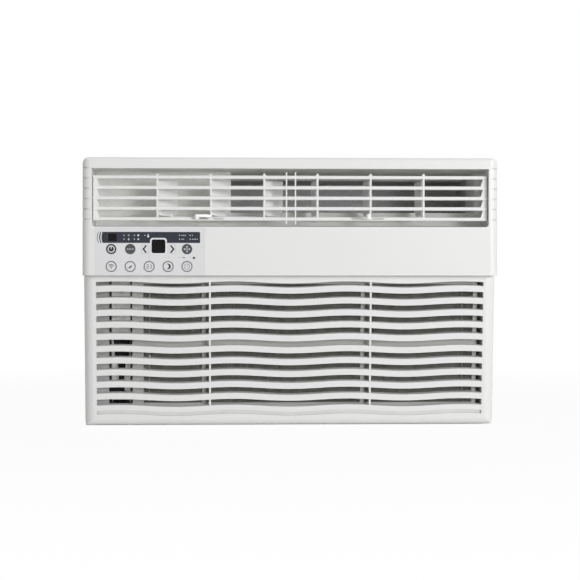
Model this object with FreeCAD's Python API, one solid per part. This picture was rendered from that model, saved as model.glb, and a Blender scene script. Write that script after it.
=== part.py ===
"""Window air conditioner: room-side bezel, tilting louvres and turning vanes, hinged intake
grille with its filter, key panel, and the whole refrigerating chassis behind them.

Millimetres, +Z up. The front faces -Y and the weather side +Y. The origin is the centre of the
footprint on the sill. Each named piece is written to parts/NODE.step.
"""

import FreeCAD
import Part

import math
import os

V = FreeCAD.Vector

# ---------------------------------------------------------------- driving dimensions
WIDTH = 500.0
HEIGHT = 325.0
DEPTH = 480.0

# Room-side housing
FACE_SETBACK = 3.0  # the lever tips stand this far proud of the upper housing's face
BEZEL_DEPTH = 70.0
BEZEL_WALL = 3.0
BEZEL_CORNER = 10.0  # rounding of the vertical front edges
BEZEL_SHOULDER = 9.0  # rounding of the two top corners seen from the front
BEZEL_BROW = 3.5  # rounding of the top front edge
HOUSING_TALL = 141.5  # the upper housing, which overhangs the grille below it
GRIP_GROOVES = 6
GRIP_GROOVE_TALL = 1.6
GRIP_GROOVE_DEEP = 0.7

OUTLET_SIDE = 11.8  # housing beside, above and below the outlet
OUTLET_ABOVE = 13.2
OUTLET_TALL = 69.9
OUTLET_CORNER = 4.0
CHEEK = 3.0

BAR_COUNT = 5
BAR_PITCH = 12.55
BAR_TALL = 4.2
BAR_DEEP = 8.0
BAR_SETBACK = 6.0  # behind the housing's face
BAR_BELOW_TOP = 35.1  # the middle bar under the outlet's top edge
LOUVER_END_GAP = 1.3
END_BLOCK = 8.0
END_BLOCK_SLANT = 3.0
RIB_WIDE = 2.2
RIB_TIP = 2.5
RIB_TIP_WIDE = 5.0
CENTRE_RIB_X = 5.4
PIVOT_PIN_R = 2.0

VANE_END_SPACE = 77.9  # from the outlet's side to the outermost vane
VANE_DEEP = 30.0
VANE_THICK = 1.6
VANE_ROD_R = 1.5
VANE_PIN_R = 1.0
VANE_CHAMFER = 6.0
VANE_BEHIND_BAR = 4.0  # the vane's axis lies this far behind the bars
LEFT_VANE_TURN = 50.0  # rear edges to the right at rest
RIGHT_VANE_TURN = -9.0
LEVER_BEND = 19.0  # the finger lever's angle from the line of its vane
LEVER_THICK = 3.0
LEVER_WIDE = 6.0
LEVER_RUN = 0.4  # the lever's tip clears the notch floor by this
LEVER_NOTCH_DEEP = 2.6  # depth of the bottom bar's notch that the lever moves in
LINK_REACH = 20.0
LINK_WIDE = 6.0
LINK_TALL = 2.4
LINK_PIN_R = 1.2

# Intake grille
PANEL_LEAN = 5.0
PANEL_THICK = 18.0
PANEL_WALL = 2.6
PANEL_CORNER = 12.0
PANEL_FOOT_CORNER = 5.5
PANEL_SETBACK = 15.0  # the panel's top edge behind the housing's face
PANEL_FLOOR_GAP = 2.0
PANEL_TOP_GAP = 0.5
PANEL_REAR_GAP = 0.8
SLOT_COUNT = 11
SLOT_HEAD = 9.0  # from the panel's top edge down to the top slot's middle
SLOT_FOOT = 18.7  # from the hinge axis up to the bottom slot's middle
SLAT_NOSE = 7.3
SLAT_DEEP = 10.0
SLAT_RISE = 0.5
SLOT_SIDE = 15.2
TOP_SLOT_TRIM = 2.3
WAVE_HIGH = 1.35
WAVE_COUNT = 3.6
GROOVE_TALL = 4.4
GROOVE_DEEP = 2.0
GROOVE_DROP = 12.4  # the blind groove's middle below the bottom slot's
PANEL_RIB_SHARE = 0.195
PANEL_RIB_WIDE = 2.2
HINGE_PIN_R = 1.8
HINGE_SIDE = 45.0
HINGE_LUG_R = 4.0
HINGE_LUG_WIDE = 10.0

FILTER_LEFT_SPACE = 58.0
FILTER_RIGHT_SPACE = 21.0
FILTER_THICK = 3.4
FILTER_BAR = 5.0
FILTER_LEFT_BAR = 13.5
FILTER_FOOT_BAR = 3.0
FILTER_POST_SHARE = (0.207, 0.667)
FILTER_MID_BAR = 8.6
FILTER_MID_SHARE = 0.5265
MESH_THICK = 0.5

# Key panel
OVERLAY_SIDE = 15.8
OVERLAY_WIDE = 131.0
OVERLAY_FOOT = 0.8
OVERLAY_HEAD = 1.5
OVERLAY_THICK = 0.6
KEY_GAP = 0.2
KEY_PROUD = 0.3
KEY_TRAVEL = 0.7
KEY_FLANGE = 1.1
KEY_PITCH = 22.55
KEY_SIDE = 35.1
ROUND_KEY_R = 6.5
SOLID_KEY_R = 6.0
ARROW_KEY_WIDE = 7.4
ARROW_KEY_TALL = 10.4
UPPER_KEY_SHARE = 0.5428  # height in the band between the housing's foot and the outlet
LOWER_KEY_SHARE = 0.1866
DISPLAY_RUN = 56.2  # from the power key
DISPLAY_SHARE = 0.5993
DISPLAY_SIDE = 16.9
ARROW_KEY_OFFSET = 16.3
RECEIVER_RUN = 1.4
RECEIVER_SHARE = 0.7808
RECEIVER_WIDE = 10.2
RECEIVER_TALL_SHARE = 0.1558
WINDOW_DEEP = 1.6
BOARD_THICK = 1.6
BOARD_SETBACK = 8.0
SWITCH_TALL = 3.6
SWITCH_SIDE = 6.0

# Steel case and pan
CASE_SIDE_GAP = 12.0  # the bezel stands out past the case by this
CASE_TOP_GAP = 9.0
CASE_LAP = 11.0
CASE_SHEET = 1.0
PAN_SHEET = 1.2
PAN_FLOOR = 3.2
PAN_RIM = 30.0
GUARD_DEEP = 10.0
GUARD_BORDER = 14.0
GUARD_WIRES = 23
GUARD_UPRIGHTS = 6
GUARD_WIRE = 3.0
GUARD_SIDE = 12.0
SEAT_GAP = 0.3

# Air path
DUCT_FLOOR = 2.5
DUCT_CLIMB = 20.0  # the duct's floor rises this much towards the blower
EVAPORATOR_DEEP = 46.0
EVAPORATOR_LEFT_SPACE = 66.0
EVAPORATOR_RIGHT_SPACE = 22.0
EVAPORATOR_FOOT = 14.0
EVAPORATOR_HEAD = 27.9
CONDENSER_DEEP = 40.0
CONDENSER_SPACE = 22.0
CONDENSER_BACK = 6.0
CONDENSER_HEAD = 16.0
FIN_GROOVE_COUNT = 23
FIN_GROOVE_WIDE = 5.0
FIN_GROOVE_DEEP = 5.6
END_PLATE = 1.5
END_PLATE_LIP = 1.5
BEND_R = 10.5
COIL_TUBE_R = 4.0
AXLE_X = 40.0
AXLE_RISE = 128.0
SHAFT_R = 4.0
SHAFT_GAP = 0.05
WHEEL_R = 75.0
WHEEL_BLADES = 36
WHEEL_INSET = 10.0
SCROLL_GAP = 8.0
SCROLL_DEEP = 70.0
SCROLL_WALL = 5.0
SCROLL_SIDE = 4.0
SCROLL_START = 83.0  # the volute's radius at its tongue
SCROLL_GROWTH = 35.0
SCROLL_INLET_R = 62.0
THROAT_LEFT_RUN = 112.0  # from the axle
THROAT_RIGHT_SPACE = 7.0

# Weather side
BULKHEAD_GAP = 3.0
MOTOR_R = 52.0
MOTOR_GAP = 5.8
MOTOR_LONG = 82.0
FAN_R = 104.0
FAN_RING = 5.0
FAN_DEEP = 30.0
FAN_BLADES = 5
SHROUD_SPACE = 50.0  # from the shroud's plate to the condenser
SHROUD_THICK = 2.5
COMPRESSOR_SIDE = 90.0
COMPRESSOR_SHARE = 0.273  # its radius as a share of the space it stands in
COMPRESSOR_TALL = 191.6
STUD_R = 3.4
GROMMET_TALL = 16.0
ACCUMULATOR_R = 17.0
ACCUMULATOR_GAP = 5.0
SUCTION_R = 4.8
DISCHARGE_R = 4.0
CAPILLARY_R = 1.3

# Fixings
BASE_HOLE_SIDE = 16.0
BASE_HOLE_FRONT_RUN = 148.0
BASE_HOLE_REAR_RUN = 80.0
BASE_HOLE_R = 3.2
DRAIN_Z = 14.0
DRAIN_R = 7.0
DRAIN_COLLAR = 1.0  # how far the collar stands out past the spigot, and how long it is
HOSE_SPACE = 5.0
TOP_HOLE_X = 150.0
TOP_HOLE_Y = -20.0
TOP_HOLE_R = 2.4
CASE_SLOT_ROWS = 14
CASE_SLOT_COLUMNS = 2
CASE_SLOT_LOW = 60.0
CASE_SLOT_TALL = 4.5
CASE_SLOT_LONG = 62.0
CASE_SLOT_FRONT = 10.0
TOP_SLOT_COLUMNS = 22
TOP_SLOT_SIDE = 38.0
CASE_SCREW_FRONT_RUN = 88.0
CASE_SCREW_REAR_RUN = 40.0
CASE_SCREW_Z = 20.0
BEZEL_SCREW_LOW = 70.0
BEZEL_SCREW_DROP = 70.0

# ---------------------------------------------------------------- derived places
HALF = WIDTH / 2
REAR = DEPTH / 2
FACE_Y = -DEPTH / 2 + FACE_SETBACK
BEZEL_REAR = FACE_Y + BEZEL_DEPTH
INNER_X = HALF - BEZEL_WALL
HOUSING_BOTTOM = HEIGHT - HOUSING_TALL

OUTLET_HALF = HALF - OUTLET_SIDE
OUTLET_TOP = HEIGHT - OUTLET_ABOVE
OUTLET_BOTTOM = OUTLET_TOP - OUTLET_TALL
BAR_FRONT = FACE_Y + BAR_SETBACK
BAR_REAR = BAR_FRONT + BAR_DEEP
TILT_Y = BAR_FRONT + BAR_DEEP / 2
LOUVER_HALF = OUTLET_HALF - LOUVER_END_GAP
BAR_MIDDLE_Z = OUTLET_TOP - BAR_BELOW_TOP
BOTTOM_BAR_Z = BAR_MIDDLE_Z - BAR_PITCH * (BAR_COUNT - 1) / 2
TOP_BAR_Z = BAR_MIDDLE_Z + BAR_PITCH * (BAR_COUNT - 1) / 2
VANE_PITCH = 2 * (OUTLET_HALF - VANE_END_SPACE) / 5
VANE_Y = BAR_REAR + VANE_BEHIND_BAR
VANE_LOW = BOTTOM_BAR_Z + BAR_TALL / 2 + 2.6
VANE_HIGH = TOP_BAR_Z - BAR_TALL / 2 - 0.9
LEVER_NOTCH_Z = BOTTOM_BAR_Z + BAR_TALL / 2 - LEVER_NOTCH_DEEP
LEVER_R = LEVER_WIDE / 2
LEVER_ANGLE = math.radians(RIGHT_VANE_TURN + LEVER_BEND)
LEVER_REACH = (VANE_Y + REAR - LEVER_R) / math.cos(LEVER_ANGLE) + LEVER_R

LEAN = math.radians(PANEL_LEAN)
PANEL_HALF = PANEL_THICK / 2
HINGE_X = HALF - HINGE_SIDE
HINGE_Z = PANEL_FLOOR_GAP + PANEL_HALF
PANEL_TOP_Z = HOUSING_BOTTOM - PANEL_TOP_GAP
PANEL_RISE = (PANEL_TOP_Z - HINGE_Z + PANEL_HALF * math.sin(LEAN)) / math.cos(LEAN)
HINGE_Y = FACE_Y + PANEL_SETBACK + PANEL_HALF * math.cos(LEAN) + PANEL_RISE * math.sin(LEAN)
SLAT_BACK = SLAT_DEEP - PANEL_HALF
SLOT_TOP_CENTRE = PANEL_RISE - SLOT_HEAD
SLOT_PITCH = (SLOT_TOP_CENTRE - SLOT_FOOT) / (SLOT_COUNT - 1)
SLOT_GAP = SLOT_PITCH - SLAT_NOSE
SLOT_HALF = HALF - SLOT_SIDE
WAVE_LONG = WIDTH / WAVE_COUNT
PANEL_RIB_X = WIDTH * PANEL_RIB_SHARE
BEZEL_FLOOR_FRONT = HINGE_Y + PANEL_HALF + 1.5
FILTER_LEFT = -HALF + FILTER_LEFT_SPACE
FILTER_RIGHT = HALF - FILTER_RIGHT_SPACE

OVERLAY_LEFT = -HALF + OVERLAY_SIDE
OVERLAY_RIGHT = OVERLAY_LEFT + OVERLAY_WIDE
OVERLAY_BOTTOM = HOUSING_BOTTOM + OVERLAY_FOOT
OVERLAY_TOP = OUTLET_BOTTOM - OVERLAY_HEAD
KEY_LEFT_X = -HALF + KEY_SIDE
KEY_BAND = OUTLET_BOTTOM - HOUSING_BOTTOM
UPPER_KEY_Z = HOUSING_BOTTOM + KEY_BAND * UPPER_KEY_SHARE
LOWER_KEY_Z = HOUSING_BOTTOM + KEY_BAND * LOWER_KEY_SHARE
DISPLAY_X = KEY_LEFT_X + DISPLAY_RUN
DISPLAY_Z = HOUSING_BOTTOM + KEY_BAND * DISPLAY_SHARE
RECEIVER_X = KEY_LEFT_X + RECEIVER_RUN
RECEIVER_Z = HOUSING_BOTTOM + KEY_BAND * RECEIVER_SHARE
RECEIVER_TALL = KEY_BAND * RECEIVER_TALL_SHARE
FACE_BACK = FACE_Y + BEZEL_WALL
BOARD_Y = FACE_BACK + BOARD_SETBACK

CASE_HALF = HALF - CASE_SIDE_GAP
CASE_TOP = HEIGHT - CASE_TOP_GAP
CASE_FRONT = BEZEL_REAR - CASE_LAP
CASE_REAR = REAR - GUARD_DEEP
CASE_INNER = CASE_HALF - CASE_SHEET
GUARD_REACH = CASE_HALF - GUARD_SIDE
DRAIN_X = 2 * GUARD_REACH / (GUARD_UPRIGHTS - 1)  # in the gap right of the middle one
PAN_TOP = PAN_FLOOR + PAN_SHEET
PAN_HALF = CASE_INNER - SEAT_GAP
PAN_FRONT = CASE_FRONT + 3.0
PAN_REAR = CASE_REAR - 1.5
CASE_SCREW_Y = (CASE_FRONT + CASE_SCREW_FRONT_RUN, CASE_REAR - CASE_SCREW_REAR_RUN)
BEZEL_SCREW_Z = (BEZEL_SCREW_LOW, HEIGHT - BEZEL_SCREW_DROP)
BASE_HOLE_X = CASE_HALF - BASE_HOLE_SIDE
BASE_HOLE_Y = (CASE_FRONT + BASE_HOLE_FRONT_RUN, CASE_REAR - BASE_HOLE_REAR_RUN)

DUCT_CREST = OUTLET_BOTTOM + DUCT_CLIMB
EVAPORATOR = dict(x0=-CASE_HALF + EVAPORATOR_LEFT_SPACE, x1=CASE_HALF - EVAPORATOR_RIGHT_SPACE,
                  y0=CASE_FRONT + 2.0, y1=CASE_FRONT + 2.0 + EVAPORATOR_DEEP,
                  z0=EVAPORATOR_FOOT, z1=OUTLET_BOTTOM - EVAPORATOR_HEAD)
CONDENSER = dict(x0=-CASE_HALF + CONDENSER_SPACE, x1=CASE_HALF - CONDENSER_SPACE,
                 y0=CASE_REAR - CONDENSER_BACK - CONDENSER_DEEP, y1=CASE_REAR - CONDENSER_BACK,
                 z0=PAN_TOP, z1=CASE_TOP - CONDENSER_HEAD)
AXLE_Z = AXLE_RISE
SCROLL_FRONT = EVAPORATOR["y1"] + SCROLL_GAP
SCROLL_BACK = SCROLL_FRONT + SCROLL_DEEP
SCROLL_ROOF = OUTLET_TOP - 6.0
WHEEL_FRONT = SCROLL_FRONT + WHEEL_INSET
WHEEL_BACK = SCROLL_BACK - 8.0
THROAT_LEFT = AXLE_X - THROAT_LEFT_RUN
THROAT_RIGHT = CASE_HALF - THROAT_RIGHT_SPACE
BULKHEAD_Y = SCROLL_BACK + BULKHEAD_GAP
MOTOR_FRONT = BULKHEAD_Y + PAN_SHEET + MOTOR_GAP
MOTOR_BACK = MOTOR_FRONT + MOTOR_LONG
MOTOR_MIDDLE = (MOTOR_FRONT + MOTOR_BACK) / 2
SHROUD_Y = CONDENSER["y0"] - SHROUD_SPACE
FAN_BACK = SHROUD_Y - 6.0
FAN_FRONT = FAN_BACK - FAN_DEEP

COMPRESSOR_R = (SHROUD_Y - BULKHEAD_Y) * COMPRESSOR_SHARE
COMPRESSOR_X = -CASE_HALF + COMPRESSOR_SIDE
COMPRESSOR_Y = (SHROUD_Y + BULKHEAD_Y) / 2
COMPRESSOR_TOP = PAN_TOP + GROMMET_TALL + COMPRESSOR_TALL
COMPRESSOR_FOOT_R = COMPRESSOR_R + 12.0
ACCUMULATOR_X = COMPRESSOR_X + COMPRESSOR_R + ACCUMULATOR_GAP + ACCUMULATOR_R
ACCUMULATOR_Y = COMPRESSOR_Y + 18.0
SUCTION_X = EVAPORATOR["x0"] - 8.5
SUCTION_Z = EVAPORATOR["z1"] - 17.0
SUCTION_TOP_Z = EVAPORATOR["z1"] + 48.0
CAPILLARY_X = SUCTION_X - 8.0
CAPILLARY_Z = EVAPORATOR["z1"] + 26.0
SIDE_LINE_X = -CASE_HALF + 9.0
LINE_TOP_Z = CASE_TOP - 26.0
DISCHARGE_Y = CONDENSER["y0"] + 7
DISCHARGE_Z = CONDENSER["z1"] - 32.0

BOX_LEFT = -CASE_HALF + 18.5
BOX_RIGHT = BOX_LEFT + 23.0
BOX_FRONT = CASE_FRONT + 2.0
BOX_BACK = BOX_FRONT + 106.0
BOX_LOW = PAN_TOP + 25.9
BOX_HIGH = EVAPORATOR["z1"] + 18.0

os.makedirs("parts", exist_ok=True)


# ---------------------------------------------------------------- small shape helpers
def box(x0, x1, y0, y1, z0, z1):
    return Part.makeBox(x1 - x0, y1 - y0, z1 - z0, V(x0, y0, z0))


def rod(radius, start, direction, length):
    return Part.makeCylinder(radius, length, V(*start), V(*direction))


def join(shapes):
    """One clean solid from pieces that touch or overlap."""
    first, *rest = shapes
    return first.fuse(rest).removeSplitter() if rest else first


def rounded(shape, radius, keep_edge):
    """Round the straight edges whose middle point passes keep_edge."""
    chosen = [e for e in shape.Edges if keep_edge(e, e.CenterOfMass)]
    return shape.makeFillet(radius, chosen)


def along(edge, axis):
    """True for an edge parallel to axis."""
    ends = [v.Point for v in edge.Vertexes]
    if len(ends) < 2:
        return False
    step = (ends[1] - ends[0]).normalize()
    return abs(abs(step.dot(V(*axis))) - 1) < 1e-6


def prism_x(points, x0, x1):
    """Extrude a closed (y, z) outline from x0 to x1."""
    wire = Part.makePolygon([V(x0, y, z) for y, z in [*points, points[0]]])
    return Part.Face(wire).extrude(V(x1 - x0, 0, 0))


def prism_y(points, y0, y1):
    """Extrude a closed (x, z) outline from y0 to y1."""
    wire = Part.makePolygon([V(x, y0, z) for x, z in [*points, points[0]]])
    return Part.Face(wire).extrude(V(0, y1 - y0, 0))


def plate_y(x, z, wide, tall, corner, y0, y1):
    """A plate facing -Y with rounded corners, centred on (x, z)."""
    blank = box(x - wide / 2, x + wide / 2, y0, y1, z - tall / 2, z + tall / 2)
    return rounded(blank, corner, lambda e, m: along(e, (0, 1, 0)))


def pipe(points, radius, bend):
    """A round pipe along a polyline with its corners bent to the radius bend."""
    path = [V(*p) for p in points]
    edges = []
    last = path[0]
    for before, corner, after in zip(path, path[1:], path[2:]):
        inward = (before - corner).normalize()
        outward = (after - corner).normalize()
        half = inward.getAngle(outward) / 2
        run = bend / math.tan(half)
        enter = corner + inward * run
        leave = corner + outward * run
        middle = (inward + outward).normalize()
        centre = corner + middle * (bend / math.sin(half))
        edges.append(Part.makeLine(last, enter))
        edges.append(Part.Arc(enter, centre - middle * bend, leave).toShape())
        last = leave
    edges.append(Part.makeLine(last, path[-1]))
    ring = Part.Wire(Part.makeCircle(radius, path[0], path[1] - path[0]))
    return Part.Wire(edges).makePipeShell([ring], True, True)


def turned(shape, degrees, centre, axis):
    """A copy of the shape turned about an axis through centre."""
    copy = shape.copy()
    copy.rotate(V(*centre), V(*axis), degrees)
    return copy


def write(node, shape):
    """Write one named piece and say what it holds."""
    shape.exportStep("parts/" + node + ".step")
    print(f"{node}: {len(shape.Solids)} solids, valid {shape.isValid()}")


# ---------------------------------------------------------------- room side: bezel
def panel_rear_y(z, gap=0.0):
    """The Y of the leaning panel's back plane at height z."""
    up = (z - HINGE_Z - PANEL_HALF * math.sin(LEAN)) / math.cos(LEAN)
    return HINGE_Y + (PANEL_HALF + gap) * math.cos(LEAN) - up * math.sin(LEAN)


def key_plan():
    """Every key's name, centre and shape: round keys by radius, arrow keys by width and height."""
    keys = [
        ("power_key", KEY_LEFT_X, UPPER_KEY_Z, SOLID_KEY_R),
        ("mode_key", KEY_LEFT_X + KEY_PITCH, UPPER_KEY_Z, SOLID_KEY_R),
        ("fan_key", KEY_LEFT_X + 4 * KEY_PITCH, UPPER_KEY_Z, SOLID_KEY_R),
        ("cooler_key", DISPLAY_X - ARROW_KEY_OFFSET, UPPER_KEY_Z, None),
        ("warmer_key", DISPLAY_X + ARROW_KEY_OFFSET, UPPER_KEY_Z, None),
    ]
    lower = ("wireless_key", "auto_key", "filter_key", "sleep_key", "timer_key")
    for place, name in enumerate(lower):
        keys.append((name, KEY_LEFT_X + place * KEY_PITCH, LOWER_KEY_Z, ROUND_KEY_R))
    return keys


def key_body(x, z, radius, grow, y0, y1):
    """A key's outline, larger by grow all round, between two depths."""
    if radius:
        return rod(radius + grow, (x, y0, z), (0, 1, 0), y1 - y0)
    wide = ARROW_KEY_WIDE + 2 * grow
    tall = ARROW_KEY_TALL + 2 * grow
    return plate_y(x, z, wide, tall, 1.5 + grow, y0, y1)


def side_grooves():
    """Shallow level grip grooves that run back from each front corner of the housing."""
    deep = GRIP_GROOVE_DEEP
    tall = GRIP_GROOVE_TALL
    band = box(-HALF - 5, HALF + 5, FACE_Y - 5, FACE_Y + 50, 0, tall)
    core = box(-HALF + deep, HALF - deep, FACE_Y, FACE_Y + 60, -1, tall + 1)
    core = rounded(core, BEZEL_CORNER + 0.5, lambda e, m: along(e, (0, 0, 1)) and m.y < FACE_Y + 1)
    front = box(-HALF + BEZEL_CORNER + 2, HALF - BEZEL_CORNER - 2, FACE_Y - 9, FACE_Y + 9,
                -1, tall + 1)
    groove = band.cut(core.fuse(front))
    cuts = []
    for row in range(GRIP_GROOVES):
        ring = groove.copy()
        ring.translate(V(0, 0, HEIGHT - 13.5 - row * 12.3))
        cuts.extend(ring.Solids)
    return cuts


def front_bezel():
    """Moulded frame: the upper housing with the outlet, and the ring behind the grille."""
    slope_low = panel_rear_y(0, PANEL_REAR_GAP)
    slope_high = panel_rear_y(HOUSING_BOTTOM, PANEL_REAR_GAP)
    side = [
        (BEZEL_REAR, 0), (slope_low, 0),
        (slope_high, HOUSING_BOTTOM), (FACE_Y, HOUSING_BOTTOM), (FACE_Y, HEIGHT),
        (BEZEL_REAR, HEIGHT),
    ]
    half = HALF
    outer = prism_x(side, -half, half)
    brow = box(-half, half, FACE_Y, BEZEL_REAR + 9, -9, HEIGHT)
    brow = rounded(brow, BEZEL_BROW, lambda e, m: m.y < FACE_Y + 1 and m.z > HEIGHT - 1)
    plan = box(-half, half, FACE_Y, BEZEL_REAR + 9, -9, HEIGHT + 9)
    plan = rounded(plan, BEZEL_CORNER, lambda e, m: along(e, (0, 0, 1)) and m.y < FACE_Y + 1)
    front = box(-half, half, FACE_Y - 9, BEZEL_REAR + 9, -9, HEIGHT)
    front = rounded(front, BEZEL_SHOULDER, lambda e, m: along(e, (0, 1, 0)) and m.z > 0)
    outer = outer.common(brow).common(plan).common(front)

    inner_top = HEIGHT - BEZEL_WALL
    shelf_rear = slope_high + BEZEL_WALL
    room = box(-INNER_X, INNER_X, FACE_BACK, BEZEL_REAR + 1, BEZEL_WALL, inner_top)
    room = rounded(room, BEZEL_CORNER - BEZEL_WALL,
                   lambda e, m: along(e, (0, 0, 1)) and m.y < FACE_BACK + 1)
    room = rounded(room, BEZEL_SHOULDER - BEZEL_WALL,
                   lambda e, m: along(e, (0, 1, 0)) and m.z > inner_top - 1)
    hollow = [
        box(-INNER_X, INNER_X, FACE_BACK, BEZEL_REAR + 1, HOUSING_BOTTOM + BEZEL_WALL, inner_top),
        box(-INNER_X, INNER_X, shelf_rear, BEZEL_REAR + 1, BEZEL_WALL, inner_top),
        box(-INNER_X, INNER_X, slope_high - 1, shelf_rear + 1, BEZEL_WALL,
            HOUSING_BOTTOM - BEZEL_WALL),
    ]
    shell = outer.cut([space.common(room) for space in hollow])

    cheek_rear = CASE_FRONT - 1.0
    additions = []
    for sign in (-1, 1):
        near = sign * OUTLET_HALF
        far = sign * (OUTLET_HALF + CHEEK)
        cheek = box(min(near, far), max(near, far), FACE_BACK - 1, cheek_rear,
                    OUTLET_BOTTOM - 4, OUTLET_TOP + 2.4)
        additions.append(cheek)
        lip = box(0, INNER_X + 1 - CASE_HALF - SEAT_GAP, BEZEL_REAR - BEZEL_WALL, BEZEL_REAR,
                  BEZEL_WALL - 1, inner_top + 1)
        lip.translate(V(CASE_HALF + SEAT_GAP if sign > 0 else -INNER_X - 1, 0, 0))
        additions.append(lip)
        for z in BEZEL_SCREW_Z:
            boss = rod(4.6, (sign * (CASE_HALF + SEAT_GAP), CASE_FRONT + 6, z), (sign, 0, 0),
                       INNER_X + 1 - CASE_HALF - SEAT_GAP)
            additions.append(boss)
        lug_low = box(sign * HINGE_X - HINGE_LUG_WIDE / 2, sign * HINGE_X + HINGE_LUG_WIDE / 2,
                      BEZEL_FLOOR_FRONT, PAN_FRONT - 0.5, 0, HINGE_Z + HINGE_LUG_R)
        lug_arm = box(sign * HINGE_X - HINGE_LUG_WIDE / 2, sign * HINGE_X + HINGE_LUG_WIDE / 2,
                      HINGE_Y, BEZEL_FLOOR_FRONT + 1, HINGE_Z - HINGE_LUG_R + 0.5,
                      HINGE_Z + HINGE_LUG_R)
        eye = rod(HINGE_LUG_R, (sign * HINGE_X - HINGE_LUG_WIDE / 2, HINGE_Y, HINGE_Z),
                  (1, 0, 0), HINGE_LUG_WIDE)
        additions += [lug_low, lug_arm, eye]
    roof_lip = box(-INNER_X - 1, INNER_X + 1, BEZEL_REAR - BEZEL_WALL, BEZEL_REAR,
                   CASE_TOP + SEAT_GAP, inner_top + 1)
    baffles = [
        box(x0, x1, CASE_FRONT - 6, CASE_FRONT - 4, BEZEL_WALL - 1, HOUSING_BOTTOM - 4)
        for x0, x1 in ((-INNER_X - 1, BOX_LEFT - 2.4), (CASE_INNER, INNER_X + 1))
    ]
    additions += [roof_lip, *baffles]
    for x in (OVERLAY_LEFT + 5, OVERLAY_RIGHT - 5):
        for z in (OVERLAY_BOTTOM + 7, OVERLAY_TOP - 9):
            additions.append(rod(2.4, (x, FACE_BACK - 1, z), (0, 1, 0), BOARD_Y - FACE_BACK + 1))
    shell = join([shell, *additions])

    outlet = box(-OUTLET_HALF, OUTLET_HALF, FACE_Y - 1, FACE_BACK + 0.5, OUTLET_BOTTOM, OUTLET_TOP)
    outlet = rounded(outlet, OUTLET_CORNER,
                     lambda e, m: along(e, (0, 1, 0)) and m.z < OUTLET_BOTTOM + 1)
    cuts = [outlet]
    for sign in (-1, 1):
        start = sign * (OUTLET_HALF - 1)
        cuts.append(rod(PIVOT_PIN_R + SHAFT_GAP, (start, TILT_Y, BAR_MIDDLE_Z), (sign, 0, 0), 6))
        cuts.append(rod(HINGE_PIN_R + SHAFT_GAP, (sign * HINGE_X - 9, HINGE_Y, HINGE_Z),
                        (1, 0, 0), 18))
        for z in BEZEL_SCREW_Z:
            reach = (sign * (HALF + 1), CASE_FRONT + 6, z)
            cuts.append(rod(2.0, reach, (-sign, 0, 0), 16))
            cuts.append(rod(4.3, reach, (-sign, 0, 0), 2.6))
    cuts.append(box(OVERLAY_LEFT, OVERLAY_RIGHT, FACE_Y - 1, FACE_Y + OVERLAY_THICK,
                    OVERLAY_BOTTOM, OVERLAY_TOP))
    for _, x, z, radius in key_plan():
        cuts.append(key_body(x, z, radius, KEY_GAP, FACE_Y - 1, FACE_BACK + 1))
    side_w = DISPLAY_SIDE
    cuts.append(plate_y(DISPLAY_X, DISPLAY_Z, side_w, side_w, 2.5, FACE_Y, FACE_Y + WINDOW_DEEP))
    cuts.append(plate_y(DISPLAY_X, DISPLAY_Z, side_w - 2, side_w - 2, 1.5, FACE_Y, FACE_BACK + 1))
    cuts.append(plate_y(RECEIVER_X, RECEIVER_Z, RECEIVER_WIDE, RECEIVER_TALL, 0.8,
                        FACE_Y, FACE_Y + WINDOW_DEEP))
    cuts.append(plate_y(RECEIVER_X, RECEIVER_Z, RECEIVER_WIDE - 3, RECEIVER_TALL - 3, 0.6,
                        FACE_Y, FACE_BACK + 1))
    cuts += side_grooves()
    return shell.cut(cuts)


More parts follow.
